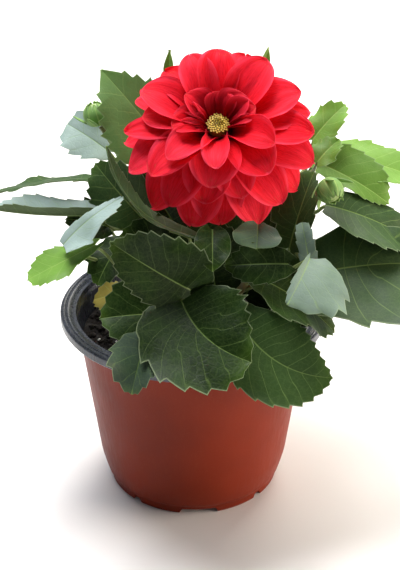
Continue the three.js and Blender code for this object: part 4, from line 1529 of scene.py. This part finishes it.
@dataclass
class LeafyStem:
    """A stem with the leaves and the bud that grow from it."""

    name: str
    radius: float
    path: list[Point]
    leaves: list[Leaf]
    bud: Bud | None = None
    extra: list[Patch] = field(default_factory=list)
    narrowing: float = 0.28
    swelling: float = 0.35
    swelling_reach: float = 2.5

    def stem(self) -> Patch:
        """The stem's own tube, which narrows upwards and swells a little where a leaf leaves it.

        Returns:
            Its closed patch.
        """
        line = SmoothPath(self.path)
        shares = np.linspace(0.0, 1.0, 72)
        radii = self.radius * (1.0 - self.narrowing * shares)
        for leaf in self.leaves:
            away = (shares - leaf.leaves_at) * line.length / self.swelling_reach
            radii = radii + self.swelling * np.exp(-(away**2))
        radii = np.minimum(radii, self.radius + 0.3)
        return tube(line.at(shares), radii, 20, (0.25, 0.7), Wear.STEM, ribs=0.03)

    def build(self, upper: bpy.types.Material, lower: bpy.types.Material, skin: bpy.types.Material) -> None:
        """Makes the stem as one piece.

        Args:
            upper: The leaves' upper side.
            lower: Their lower side.
            skin: The stem and the stalks.
        """
        line = SmoothPath(self.path)
        parts = [self.stem(), *self.extra]
        for number, leaf in enumerate(self.leaves):
            seed = sum(map(ord, self.name)) + 17 * number
            parts += leaf.blade(seed)
            parts.append(leaf.petiole(line.at(leaf.leaves_at)))
        if self.bud:
            parts += self.bud.patches()
        piece = make_piece(f"{self.name}_foliage", parts, [upper, lower, skin])
        dress(piece, "leaf_green", self.name)


def rooted(x: float, y: float, *rest: Point) -> list[Point]:
    """A stem's path: straight up out of its hole in the mix, then through the rest."""
    return [(x, y, 68), (x, y, 80), (x, y, 91), *rest]


def leafy_stems() -> list[LeafyStem]:
    """Lists the stems.

    Returns:
        The seven stems in the order in which they are made.
    """
    return [
        LeafyStem(
            "flowering_stem",
            2.7,
            rooted(0, 2, (2, 1, 110), (5, 3, 140), (10, 9, 163), (11.5, 5, 173.9)),
            [
                Leaf(
                    0.7, (-11, 28, 163.5), (-44, 40, 201.5), (0.2, -0.85, 0.45), 46, Tone.BRIGHT,
                    blunt=0.35, taper=0.95, halves=(0.78, 1.0), pairs=7, crown=0.84, advance=0.03, bite=0.75,
                ),
                Leaf(
                    0.5, (-2, -19, 142.5), (-39.5, -7.5, 182.5), (0.78, -0.1, 0.62), 18, Tone.FOLDED, -0.17,
                    fold=12, halves=(0.75, 0.5),
                ),
                Leaf(0.66, (-9, 35.5, 181.5), (-11, 40.5, 211.5), (-0.4, -0.6, 0.5), 7.5, Tone.MEADOW, entire=True),
                Leaf(0.66, (24, 35.5, 181), (36, 40, 213), (0.4, -0.6, 0.5), 8.5, Tone.MEADOW, entire=True),
                Leaf(0.35, (-10, -12, 128), (-34, -18, 142), (-0.2, -0.7, 0.7), 30, Tone.DARK),
                Leaf(0.25, (11, -12, 109), (5, -10, 149), (0, -0.85, 0.5), 37, Tone.DARK),
                Leaf(0.45, (20, -8, 132), (27, -5, 157), (0.1, -0.9, 0.4), 31, Tone.DARK),
                Leaf(
                    0.5, (-6, 9, 130), (-26.5, 17, 165.5), (-0.3, -0.85, 0.45), 28, Tone.DARK,
                    lobes=0, blunt=0.4, taper=1.4, halves=(0.85, 0.62),
                ),
            ],
        ),
        LeafyStem(
            "left_stem",
            2.2,
            rooted(-12, 6, (-22, 12, 112), (-35.5, 34, 158), (-41, 41.5, 165.5), (-45, 42.5, 171.6)),
            [
                Leaf(0.45, (-24, 2, 141), (-46.5, 12.5, 165), (-0.35, -0.75, 0.55), 30, Tone.MID),
                Leaf(
                    0.72, (-51, 15, 156), (-98, 17, 146), (-0.05, 0.31, 0.92), 24, Tone.MID, 0.04,
                    fold=4, droop=0.05, wave=0.7,
                ),
                Leaf(0.55, (-46.5, 0.5, 144.5), (-97.5, -7, 151), (-0.1, 0.2, 0.97), 18, Tone.SKY, -0.03, fold=44),
                Leaf(0.4, (-40.5, 4, 135.5), (-61, 6, 138.5), (0.1, -0.5, 0.85), 22, Tone.DARK),
                Leaf(
                    0.35, (-59.5, -27, 141.5), (-32, -14.5, 160), (-0.55, -0.5, 0.65), 19, Tone.MOSTLY_SKY,
                    lobes=0, blunt=0.24, taper=1.0, halves=(1.45, 0.5), wave=2.0,
                ),
                Leaf(
                    0.3, (-45.5, -26.5, 141), (-75.5, -35.5, 128), (-0.2, 0.0, 0.95), 25, Tone.LIME, 0,
                    fold=4, taper=0.55,
                ),
                Leaf(0.32, (-34, -8, 133), (-45, -21, 117), (-0.3, -0.5, 0.8), 20, Tone.DARK),
            ],
            bud=Bud((-47.4, 43, 177.3), (-0.25, 0.05, 1), 6),
        ),
        LeafyStem(
            "right_stem",
            2.2,
            rooted(14, 4, (26, 2, 108), (48, -1, 134), (61, -2, 160), (64, -4, 163)),
            [
                Leaf(
                    0.6, (65, -15, 122), (114, -7, 121), (0.05, -0.6, 0.8), 52, Tone.SHADE,
                    lobes=0.26, pairs=5, halves=(1.38, 0.86),
                ),
                Leaf(
                    0.8, (63, 2, 148), (109, 6, 124), (0.1, -0.4, 0.9), 42, Tone.SHADE,
                    lobes=0.02, halves=(0.95, 0.64),
                ),
                Leaf(
                    0.5, (45.5, -12, 132.5), (57.5, 8, 163), (-0.3, -0.8, 0.5), 42, Tone.MID,
                    blunt=0.3, lobes=0.22, halves=(0.42, 1.1),
                ),
                Leaf(
                    0.62, (54, -36, 133.5), (49.5, -31, 155), (-0.1, -0.75, 0.65), 8.5, Tone.HALF_SKY,
                    blunt=0.2, taper=0.35,
                ),
                Leaf(0.28, (25, -5.5, 102), (34, -9.5, 129), (0.1, -0.85, 0.5), 34, Tone.DARK),
                Leaf(0.4, (38.5, -7, 101), (57, -10, 113), (0.2, -0.8, 0.6), 37, Tone.DARK),
            ],
            bud=Bud((64, -5, 159), (0.3, -0.6, -0.35), 6),
        ),
        LeafyStem(
            "front_left_stem",
            2.0,
            rooted(-8, -14, (-7, -26, 110), (-5, -34, 130)),
            [
                Leaf(
                    0.9, (-1, -44, 127.5), (-36.5, -50, 155), (-0.15, -0.9, 0.35), 42, Tone.DARK,
                    blunt=0.42, halves=(1.0, 0.72),
                ),
                Leaf(
                    0.8, (-5, -49, 124.5), (26, -74, 107.5), (0, -0.8, 0.6), 54, Tone.DARK, 0.04, -0.12,
                    lobes=0.02, blunt=0.32, taper=0.85, halves=(1.05, 0.95), pairs=6,
                ),
                Leaf(0.75, (-10, -44, 115), (-42, -52, 117), (-0.1, -0.72, 0.7), 37, Tone.DARK),
                Leaf(
                    0.6, (-21, -61.5, 111), (-27, -79.5, 94), (-0.2, -0.85, 0.4), 27, Tone.TWO,
                    fold=24, halves=(1.0, 0.72),
                ),
                Leaf(0.95, (9, -32, 152), (9, -48, 139), (0, -0.6, 0.8), 17, Tone.DARK, entire=True),
            ],
        ),
        LeafyStem(
            "front_right_stem",
            2.0,
            rooted(12, -12, (18, -22, 108), (28, -28, 128)),
            [
                Leaf(0.7, (21.5, -45, 111.5), (64, -58.5, 89.5), (0.1, -0.85, 0.5), 41, Tone.MID, 0.04, -0.14, pairs=9),
                Leaf(0.8, (32, -24, 122), (66.5, -32, 98), (0.5, -0.3, 0.8), 36, Tone.DARK, halves=(1.35, 1.0)),
                Leaf(
                    0.9, (53, -40, 141.5), (42, -64, 131), (0.2, -0.75, 0.65), 48, Tone.HALF_SKY,
                    taper=0.88, halves=(0.14, 1.02), pairs=4,
                ),
                Leaf(0.95, (43.5, -36, 136.5), (14.5, -36, 135.5), (0, -0.75, 0.6), 19, Tone.DARK),
                Leaf(
                    0.97, (30, -24, 150.5), (29, -36, 144.5), (0, -0.6, 0.8), 22.5, Tone.CUPPED, taper=0.45, entire=True
                ),
            ],
        ),
        LeafyStem(
            "back_stem",
            2.2,
            rooted(0, 18, (-6, 30, 112), (-14, 40, 140)),
            [
                Leaf(
                    0.8, (-42, 55, 152), (-63.5, 62, 164.5), (-0.2, -0.6, 0.75), 25, Tone.PALEST,
                    blunt=0.6, taper=0.6,
                ),
                Leaf(0.9, (-14.5, 69, 157.5), (-20, 94, 160), (0, 0.3, 0.9), 40, Tone.MID),
                Leaf(0.6, (10, 54, 129), (22, 81, 115.5), (0, 0.7, 0.7), 42, Tone.MID),
                Leaf(0.5, (-30, 46, 118), (-46, 72, 98), (-0.3, 0.7, 0.6), 38, Tone.MID),
                Leaf(0.95, (4, 52, 166), (24, 84, 172), (0.1, 0.2, 0.95), 34, Tone.MID),
            ],
        ),
        LeafyStem(
            "back_right_stem",
            2.0,
            rooted(12, 16, (26, 24, 112), (42, 26, 138), (54, 22, 156)),
            [
                Leaf(
                    0.9, (59.5, 23.5, 160.5), (94.5, 12.5, 143.5), (0.1, -0.55, 0.83), 35, Tone.MEADOW,
                    halves=(0.46, 0.98),
                ),
                Leaf(
                    0.85, (67, 38.5, 156), (117, 42, 140.5), (0.15, -0.25, 0.95), 42, Tone.LIME,
                    lobes=0.02, halves=(1.0, 0.82),
                ),
                Leaf(0.98, (57.5, 25.5, 171.5), (73.5, 34.5, 186), (-0.3, -0.6, 0.7), 18, Tone.LIME),
                Leaf(0.96, (58.5, 7, 168), (69, 14.5, 176), (-0.3, -0.6, 0.7), 15, Tone.MEADOW),
                Leaf(0.5, (44, 48, 134), (64, 80, 118), (0.3, 0.6, 0.7), 40, Tone.MID),
            ],
        ),
    ]


@dataclass
class YellowedLeaf:
    """The withering leaf low on the left stem, over the potting mix."""

    host: LeafyStem
    leaf: Leaf = Leaf(0.2, (-33, 10, 94), (-50, 19, 87), (0.1, -0.5, 0.85), 16, Tone.YELLOW)
    clearance: float = 1.4
    seed: int = 77

    def build(self, skin: bpy.types.Material) -> None:
        """Makes the leaf in its own withered finish. Its stalk starts clear of the stem by clearance.

        Args:
            skin: The stalk's material.
        """
        withered = {"fresh": "8a8238", "lime": "b3a24e", "vein": "c9bf7a", "dull": "9a8f55", "glow": "b09a38"}
        upper = LeafSkin(LeafSide.UPPER, "withered_leaf", **withered).material()
        lower = LeafSkin(LeafSide.LOWER, "withered_leaf", **withered).material()
        line = SmoothPath(self.host.path)
        root = line.at(self.leaf.leaves_at)
        toward = unit(np.array(self.leaf.base) - root)
        parts = self.leaf.blade(self.seed)
        parts.append(self.leaf.petiole(root + toward * (self.host.radius + self.clearance)))
        piece = make_piece("yellowed_leaf_blade", parts, [upper, lower, skin])
        dress(piece, "leaf_yellow", "yellowed_leaf")


# Bloom


@dataclass(frozen=True)
class Petal:
    """One ray petal, placed by angles about the bloom's axis.

    azimuth counts from the bloom's right, elevation is the angle of the tip over the bloom's plane, reach
    is the distance of the tip, cup is half the angle of its cross-section and roll turns it about its length.
    pale adds pink and takes shade, and claw is the least share of the width below the middle.
    """

    azimuth: float
    elevation: float
    reach: float
    width: float
    cup: float
    roll: float = 0.0
    pale: float = 0.0
    claw: float = 0.34


@dataclass
class Bloom:
    """The double bloom: petals in layers round a dark well that holds the yellow disc, on a green calyx.

    A petal starts below the disc by one of root_depths, or between them, as its reach is one of root_reaches
    or between them. recurve is the share of the reach by which a tip bends back.
    """

    top: Point = (11.5, -8.0, 194.5)
    lean: float = 33.0
    disc_radius: float = 5.8
    disc_height: float = 3.4
    core_radius: float = 6.8
    core_depth: float = 12.0
    calyx_depth: float = 8.0
    petal_root: float = 3.4
    root_reaches: tuple[float, float] = (14.0, 48.0)
    root_depths: tuple[float, float] = (1.6, 9.0)
    petal_thickness: float = 0.44
    petal_rows: int = 30
    petal_columns: int = 25
    rib_height: float = 0.22
    edge_wave: float = 0.9
    recurve: float = 0.035
    petal_seed: int = 900
    seat: float = -1.0
    gap: float = 0.3
    florets_in_disc: int = 76
    floret_seed: int = 41
    open_from: float = 0.45
    bracts: int = 6
    bract_length: float = 13.0
    fullness: float = 1.1
    petals: tuple[Petal, ...] = (
        Petal(-93, 17, 29, 14, 74, 0, 0, 0.95),
        Petal(-32, 18, 31, 18, 74, 14, 0, 0.6),
        Petal(13, 30, 20, 16, 78, 12),
        Petal(-137, 12, 32, 18, 62, 8, 0, 0.6),
        Petal(144, 30, 21, 16, 60, 8),
        Petal(-166, 20, 23, 17, 62, 6),
        Petal(41, 30, 19, 17, 62, -6),
        Petal(84, 34, 16, 15, 58),
        Petal(-97, -3, 32, 23, 50),
        Petal(-49, 3, 35, 22, 52, 10),
        Petal(-140, -1, 40, 21, 50, 8),
        Petal(49, 24, 38, 20, 46, 8),
        Petal(89, 21, 37, 20, 44, 4),
        Petal(112, 19, 37, 18, 46, -4),
        Petal(157, 13, 39, 21, 44, 6),
        Petal(173, 5, 35, 19, 46, 6),
        Petal(19, 14, 41, 20, 44, 8),
        Petal(-7, 4, 44, 20, 42, 10),
        Petal(70, 10, 39, 19, 42, 6),
        Petal(131, 7, 38, 20, 42, 6),
        Petal(-178, -2, 43, 15, 44, 6),
        Petal(9, 4, 43, 17, 40, 8),
        Petal(-18, -10, 47, 21, 42, 10),
        Petal(-156, -11, 46, 20, 46, 8),
        Petal(-125, -21, 43, 22, 48, 6),
        Petal(-100, -17, 37, 21, 46, 4),
        Petal(-71, -14, 36, 22, 46, 4),
        Petal(-46, -21, 46, 22, 46, 8),
        Petal(-109, -37, 48, 23, 42, 4),
        Petal(-88, -39, 46, 24, 40, 4),
        Petal(-61, -37, 50, 24, 40, 6),
        Petal(-141, -36, 50, 22, 44, 6),
        Petal(-28, -28, 48, 19, 44, 8),
        Petal(178, -18, 46, 18, 42, 6),
        Petal(30, -12, 45, 19, 42, 8),
        Petal(0, -36, 45, 18, 40, 6),
        Petal(86, -9, 43, 20, 42, 6),
        Petal(116, -13, 44, 20, 42, 6),
        Petal(148, -11, 45, 19, 42, 6),
        Petal(40, -34, 43, 19, 40, 6),
        Petal(78, -34, 43, 19, 40, 6),
        Petal(130, -36, 44, 20, 40, 6),
        Petal(172, 30, 17, 3.6, 84, 40, 0.9),
        Petal(-174, 24, 18, 3.2, 84, -30, 1.0),
        Petal(155, 42, 17, 3.4, 84, 30, 0.8),
        Petal(-158, 16, 18, 3.4, 84, 20, 1.0),
        Petal(6, 32, 17, 3.6, 84, -30, 0.9),
        Petal(-10, 20, 18, 3.2, 84, 30, 1.0),
    )

    def __post_init__(self) -> None:
        """Works out the bloom's own frame: axis, right, back and origin."""
        lean = math.radians(self.lean)
        self.axis = np.array([0.0, -math.sin(lean), math.cos(lean)])
        self.right = np.array([1.0, 0.0, 0.0])
        self.back = np.cross(self.axis, self.right)
        self.origin = np.array(self.top) - self.axis * self.disc_height

    def stand(self, patch: Patch) -> Patch:
        """Turns a patch made about +Z onto the bloom's axis.

        Args:
            patch: The patch, which is changed.

        Returns:
            The same patch.
        """
        turn = np.stack([self.right, self.back, self.axis])
        patch.points = patch.points @ turn + self.origin
        return patch

    def petal(self, petal: Petal, number: int) -> list[Patch]:
        """One petal as a closed shell.

        Its middle line is a parabola from root to tip. Across it lies an arc of radius half width / cup, with
        low ribs, a wavy margin and a tip that bends back. The half width is the sine of pi times u to the
        1.15 to 1.4, all to the 0.5 to 0.66, and no less than the claw below the middle.

        Args:
            petal: Its sizes.
            number: Its place in the list, which seeds its draws.

        Returns:
            Its patches.
        """
        rng = np.random.default_rng(self.petal_seed + number)
        azimuth, elevation = math.radians(petal.azimuth), math.radians(petal.elevation)
        out = self.right * math.cos(azimuth) + self.back * math.sin(azimuth)
        depth = float(np.interp(petal.reach, self.root_reaches, self.root_depths))
        root = self.origin + out * self.petal_root - self.axis * depth
        tip = self.origin + (out * math.cos(elevation) + self.axis * math.sin(elevation)) * petal.reach
        bend = self.origin + out * petal.reach * 0.5
        bend = bend + self.axis * petal.reach * (0.5 * math.sin(elevation) + 0.13)
        stations = 1.0 - (1.0 - np.linspace(0.0, 1.0, self.petal_rows)) ** 1.35
        v = np.sin(np.linspace(-1.0, 1.0, self.petal_columns) * math.pi / 2.0)
        u, v = np.meshgrid(stations, v, indexing="ij")
        spoon = np.sin(math.pi * u ** rng.uniform(1.15, 1.4)) ** rng.uniform(0.5, 0.66)
        width = petal.width * self.fullness * rng.uniform(0.95, 1.05)
        skew = 1.0 + rng.uniform(-0.12, 0.12) * np.sign(v)
        half = width / 2.0 * np.maximum(np.where(u > 0.5, 0.04, petal.claw), spoon) * skew
        x = v * half
        notch = np.exp(-(((v - rng.uniform(-0.3, 0.3)) / 0.16) ** 2)) * rng.uniform(-0.025, 0.03)
        share = (u - notch * smooth(0.8, 1.0, u))[..., None]
        middle = root * (1 - share) ** 2 + bend * 2 * share * (1 - share) + tip * share**2
        tangent = unit((bend - root) * (1 - share) + (tip - bend) * share)
        across = np.broadcast_to(np.cross(self.axis, out), tangent.shape)
        across = turned_about(across, tangent, math.radians(petal.roll) * share)
        normal = np.cross(tangent, across)
        curl = np.radians(petal.cup) * (1.25 - 0.75 * smooth(0.2, 1.0, u))
        radius = np.maximum(half, width * 0.16) / curl
        angle = x / radius
        middle = middle + across * (radius * np.sin(angle))[..., None]
        lift = radius * (1.0 - np.cos(angle))
        furrows = np.cos(v * math.pi * 3.0 + rng.uniform(-1.0, 1.0)) + 0.6 * np.cos(v * 17.0 + rng.uniform(0.0, 6.0))
        ribs = self.rib_height * furrows * smooth(0.15, 0.5, u) * (1.0 - smooth(0.85, 1.0, u))
        phases = rng.uniform(0.0, 6.0, 2)
        edge = np.where(v < 0, np.sin(u * 9.0 + phases[0]), np.sin(u * 9.0 + phases[1]))
        edge = self.edge_wave * edge * np.abs(v) ** 3 * smooth(0.3, 0.7, u)
        back = self.recurve * petal.reach * smooth(0.7, 1.0, u) ** 2 * (1.0 - 0.5 * v**2)
        middle = middle + normal * (lift + ribs + edge - back)[..., None]
        thin = (1.0 - 0.6 * smooth(0.75, 1.0, np.abs(v))) * (1.0 - 0.5 * smooth(0.85, 1.0, u))
        thin = self.petal_thickness / 2.0 * thin
        tone = np.zeros((*u.shape, 4))
        tone[..., 0] = (1.0 - float(smooth(19.0, 28.0, petal.reach))) * (1.0 - petal.pale)
        tone[..., 2] = np.clip(rng.normal(0.18, 0.14), 0.0, 0.6) + petal.pale
        grain = np.stack([v * width / 2.0, u * petal.reach + 60.0 * number], axis=-1)
        blade = np.stack([np.maximum(np.abs(v), smooth(0.9, 1.0, u)), u], axis=-1)
        parts = shell(middle, thin, thin, grain, tone, blade)
        parts[0].tone[u.size :, 3] = 1.0
        return parts

    def core(self) -> Patch:
        """The receptacle, which the petals grow from, with the flat seat of the disc.

        Returns:
            Its closed patch.
        """
        profile = [
            (0.0, -self.core_depth),
            (self.core_radius * 0.8, -self.core_depth),
            (self.core_radius, -self.core_depth * 0.5),
            (self.core_radius, self.seat),
            (self.disc_radius + self.gap, self.seat),
            (0.0, self.seat),
        ]
        return self.stand(lathe(profile, 48, (0.1,)))

    def florets(self) -> list[Patch]:
        """The disc: a dome under spiral rows of tubular florets.

        Floret k stands at radius R root(k / n) and turns by the golden angle. Past open_from of the radius
        the florets are open and wider at the mouth, and inside it they are shut and greener.

        Returns:
            The dome and the florets.
        """
        low = self.seat + self.gap
        rim = self.disc_radius - 0.6
        dome = [(0, low), (rim, low), (rim - 0.2, 0.6), (4, 1.7), (0, 2.1)]
        # The dome's third tone share paints it with shade, as it lies down between the florets.
        parts = [self.stand(lathe(dome, 40, (0.35, 0.3, 0.6)))]
        rng = np.random.default_rng(self.floret_seed)
        golden = math.pi * (3.0 - math.sqrt(5.0))
        steps = np.array([0.0, 0.45, 0.75, 0.92, 1.0])
        shut, opened = np.array([0.25, 0.3, 0.42, 0.285, 0.16]), np.array([0.25, 0.3, 0.42, 0.5225, 0.46])
        # Painted shade: full at each floret's foot, fading up the tube, a little over its mouth.
        foot_shade = [*np.repeat([1.0, 0.85, 0.4, 0.0, 0.0], 6), 1.0, 0.25]
        for k in range(self.florets_in_disc):
            share = math.sqrt((k + 0.5) / self.florets_in_disc)
            r = (self.disc_radius - 0.75) * share
            around = np.array([math.cos(k * golden), math.sin(k * golden), 0.0])
            tall = self.disc_height - 0.03 * r * r + rng.uniform(-0.25, 0.2)
            foot = 1.5 - 0.03 * r * r
            axis = unit(around * 0.16 * share + [0.0, 0.0, 1.0])
            path = around * r + [0.0, 0.0, foot] + axis * ((tall - foot) * steps)[:, None]
            green = float(np.clip(0.75 - share * 0.9, 0.1, 0.7))
            orange = float(np.clip((share - 0.62) * 1.4, 0.0, 0.6)) * rng.uniform(0.2, 1.2)
            floret = tube(path, opened if share > self.open_from else shut, 6, (green, orange))
            floret.tone[:, 2] = foot_shade
            parts.append(self.stand(floret))
        return parts

    def calyx(self) -> list[Patch]:
        """The green cup and the bracts that stand out round it. They join the flowering stem.

        Returns:
            Their patches.
        """
        high = -self.core_depth - self.gap
        low = high - self.calyx_depth
        cup = [(0, low), (1.9, low), (3.6, high - 6.0), (4.9, high - 3.4), (5.6, high - 0.4), (5.4, high), (0, high)]
        parts = [self.stand(lathe(cup, 32, (0.5, 0.1), Wear.STEM))]
        point = self.origin + self.axis * (high - 1.4)
        u, v = np.meshgrid(np.linspace(0.0, 1.0, 14), np.linspace(-1.0, 1.0, 9), indexing="ij")
        half = 3.0 * np.sin(math.pi * (0.15 + 0.83 * u)) ** 0.8 + 0.1
        rise = np.radians(12.0) * (1.0 - u)
        travel = self.bract_length * u
        thick = np.full(u.shape, 0.3)
        # The third share lays a little painted sky reflection on the bracts.
        tone = np.broadcast_to([0.6, 0.25, 0.15, NO_VEIN], (*u.shape, 4))
        blade = np.stack([np.abs(v), u], axis=-1)
        for k in range(self.bracts):
            azimuth = (k + 0.5) * 2.0 * math.pi / self.bracts
            out = self.right * math.cos(azimuth) + self.back * math.sin(azimuth)
            middle = point + out * (1.0 + travel * np.cos(rise))[..., None]
            middle = middle + self.axis * (travel * np.sin(rise) + 0.25 * v**2)[..., None]
            middle = middle + np.cross(self.axis, out) * (v * half)[..., None]
            grain = np.stack([v * half, travel + 9.0 * k], axis=-1)
            parts += shell(middle, thick, thick, grain, tone, blade, (Wear.UPPER, Wear.LOWER))
        return parts

    def build(self) -> None:
        """Makes the petals and the disc."""
        parts = [self.core()]
        for number, petal in enumerate(self.petals):
            parts += self.petal(petal, number)
        petals = make_piece("bloom_ray_petals", parts, [PetalVelvet().material()], sharp=70.0)
        dress(petals, "petal_red", "bloom_petals")
        disc = make_piece("bloom_disc_florets", self.florets(), [FloretSkin().material()])
        dress(disc, "disc_yellow", "bloom_disc")


# Stage, light and camera


@dataclass(frozen=True)
class Lamp:
    """One soft square lamp, with its place and its side in metres and its colour as an sRGB hex code."""

    name: str
    at: Point
    side: float
    watts: float
    colour: str

    def hang(self, aim: Point) -> None:
        """Hangs the lamp.

        Args:
            aim: What it points at, in metres.
        """
        light = bpy.data.lights.new(self.name, "AREA")
        light.size = self.side
        light.energy = self.watts
        light.color = tint(self.colour)[:3]
        lamp = bpy.data.objects.new(self.name, light)
        back = unit(np.array(self.at) - np.array(aim))
        right = unit(np.cross([0.0, 0.0, 1.0], back))
        turn = np.eye(4)
        turn[:3, :3] = np.stack([right, np.cross(back, right), back], 1)
        turn[:3, 3] = self.at
        lamp.matrix_world = Matrix(turn.tolist())
        bpy.context.scene.collection.objects.link(lamp)


@dataclass
class Studio:
    """A pale floor under soft light, and the camera of the photograph."""

    camera_at: Point = (3.34, -638.1, 454.6)
    pitch: float = 28.653
    focal_px: float = 1494.4
    frame_px: tuple[int, int] = (400, 570)
    sensor_mm: float = 36.0
    floor_reach: float = 2500.0
    floor_drop: float = 0.05
    aim: Point = (0.0, 0.0, 0.13)
    lamps: tuple[Lamp, ...] = (
        Lamp("right", (1.05, -0.12, 0.16), 0.7, 20.0, "ffeedd"),
        Lamp("behind", (0.35, 0.85, 1.05), 0.8, 14.0, "fffaf0"),
        Lamp("above", (-0.2, 0.2, 1.2), 0.6, 21.0, "fbfbff"),
        Lamp("front", (0.1, -1.2, 0.25), 0.7, 0.4, "fffaf0"),
    )

    def floor(self) -> None:
        """A wide flat pale floor, just under the pot."""
        painter = Painter("pale_floor")
        add = painter.add
        cloud = add(Step.NOISE, add(Step.PLACE), waves(250.0), 3.0)
        colour = painter.layered(tint("eeece8"), (add(Step.RAMP, cloud, 0.3, 0.7), "f6f5f2"))
        material = painter.finish(Base_Color=colour, Roughness=0.75, Specular_IOR_Level=0.3)
        corners = np.array([[-1.0, -1.0], [1.0, -1.0], [1.0, 1.0], [-1.0, 1.0]]) * self.floor_reach
        corners = np.column_stack([corners, np.full(4, -self.floor_drop)])
        patch = Patch(corners, [np.array([[0, 1, 2, 3]])], corners[:, :2], flat_tone(4, ()))
        make_piece("floor", [patch], [material])

    def light(self) -> None:
        """Soft surroundings, bright behind and dim in front, and four soft lamps."""
        world = bpy.data.worlds.new("studio")
        world.use_nodes = True
        tree = world.node_tree
        tree.nodes.clear()
        way = add_node(tree, "ShaderNodeTexCoord").outputs["Generated"]
        parts = add_node(tree, "ShaderNodeSeparateXYZ", {0: way})
        sockets = {0: parts.outputs[1], 1: -0.5, 2: 0.6, 3: 0.1, 4: 0.62}
        strength = add_node(tree, "ShaderNodeMapRange", sockets, interpolation_type="SMOOTHSTEP")
        sky = add_node(tree, "ShaderNodeBackground", {0: tint("eef4ff"), 1: strength.outputs[0]})
        add_node(tree, "ShaderNodeOutputWorld", {0: sky.outputs[0]})
        bpy.context.scene.world = world
        for lamp in self.lamps:
            lamp.hang(self.aim)
        bpy.context.scene.view_settings.view_transform = "Standard"

    def camera(self) -> None:
        """The camera: the focal length in pixels gives the lens on the frame's longer side."""
        camera = bpy.data.cameras.new("photo_camera")
        camera.sensor_width = self.sensor_mm
        camera.sensor_fit = "AUTO"
        camera.lens = self.focal_px * self.sensor_mm / max(self.frame_px)
        camera.clip_start = 0.01
        camera.clip_end = 20.0
        body = bpy.data.objects.new("photo_camera", camera)
        body.location = [c * MM for c in self.camera_at]
        body.rotation_euler = (math.radians(90.0 - self.pitch), 0.0, 0.0)
        bpy.context.scene.collection.objects.link(body)
        bpy.context.scene.camera = body


def main() -> None:
    """Builds everything in order."""
    logging.basicConfig(level=logging.INFO, format="%(message)s")
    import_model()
    studio = Studio()
    studio.camera()
    pot = NurseryPot()
    pot.build()
    PottingMix(pot).build()
    upper = LeafSkin(LeafSide.UPPER).material()
    lower = LeafSkin(LeafSide.LOWER).material()
    skin = StemSkin().material()
    bloom = Bloom()
    stems = leafy_stems()
    stems[0].extra = bloom.calyx()
    for stem in stems:
        stem.build(upper, lower, skin)
    YellowedLeaf(stems[1]).build(skin)
    bloom.build()
    studio.floor()
    studio.light()


if __name__ == "__main__":
    main()
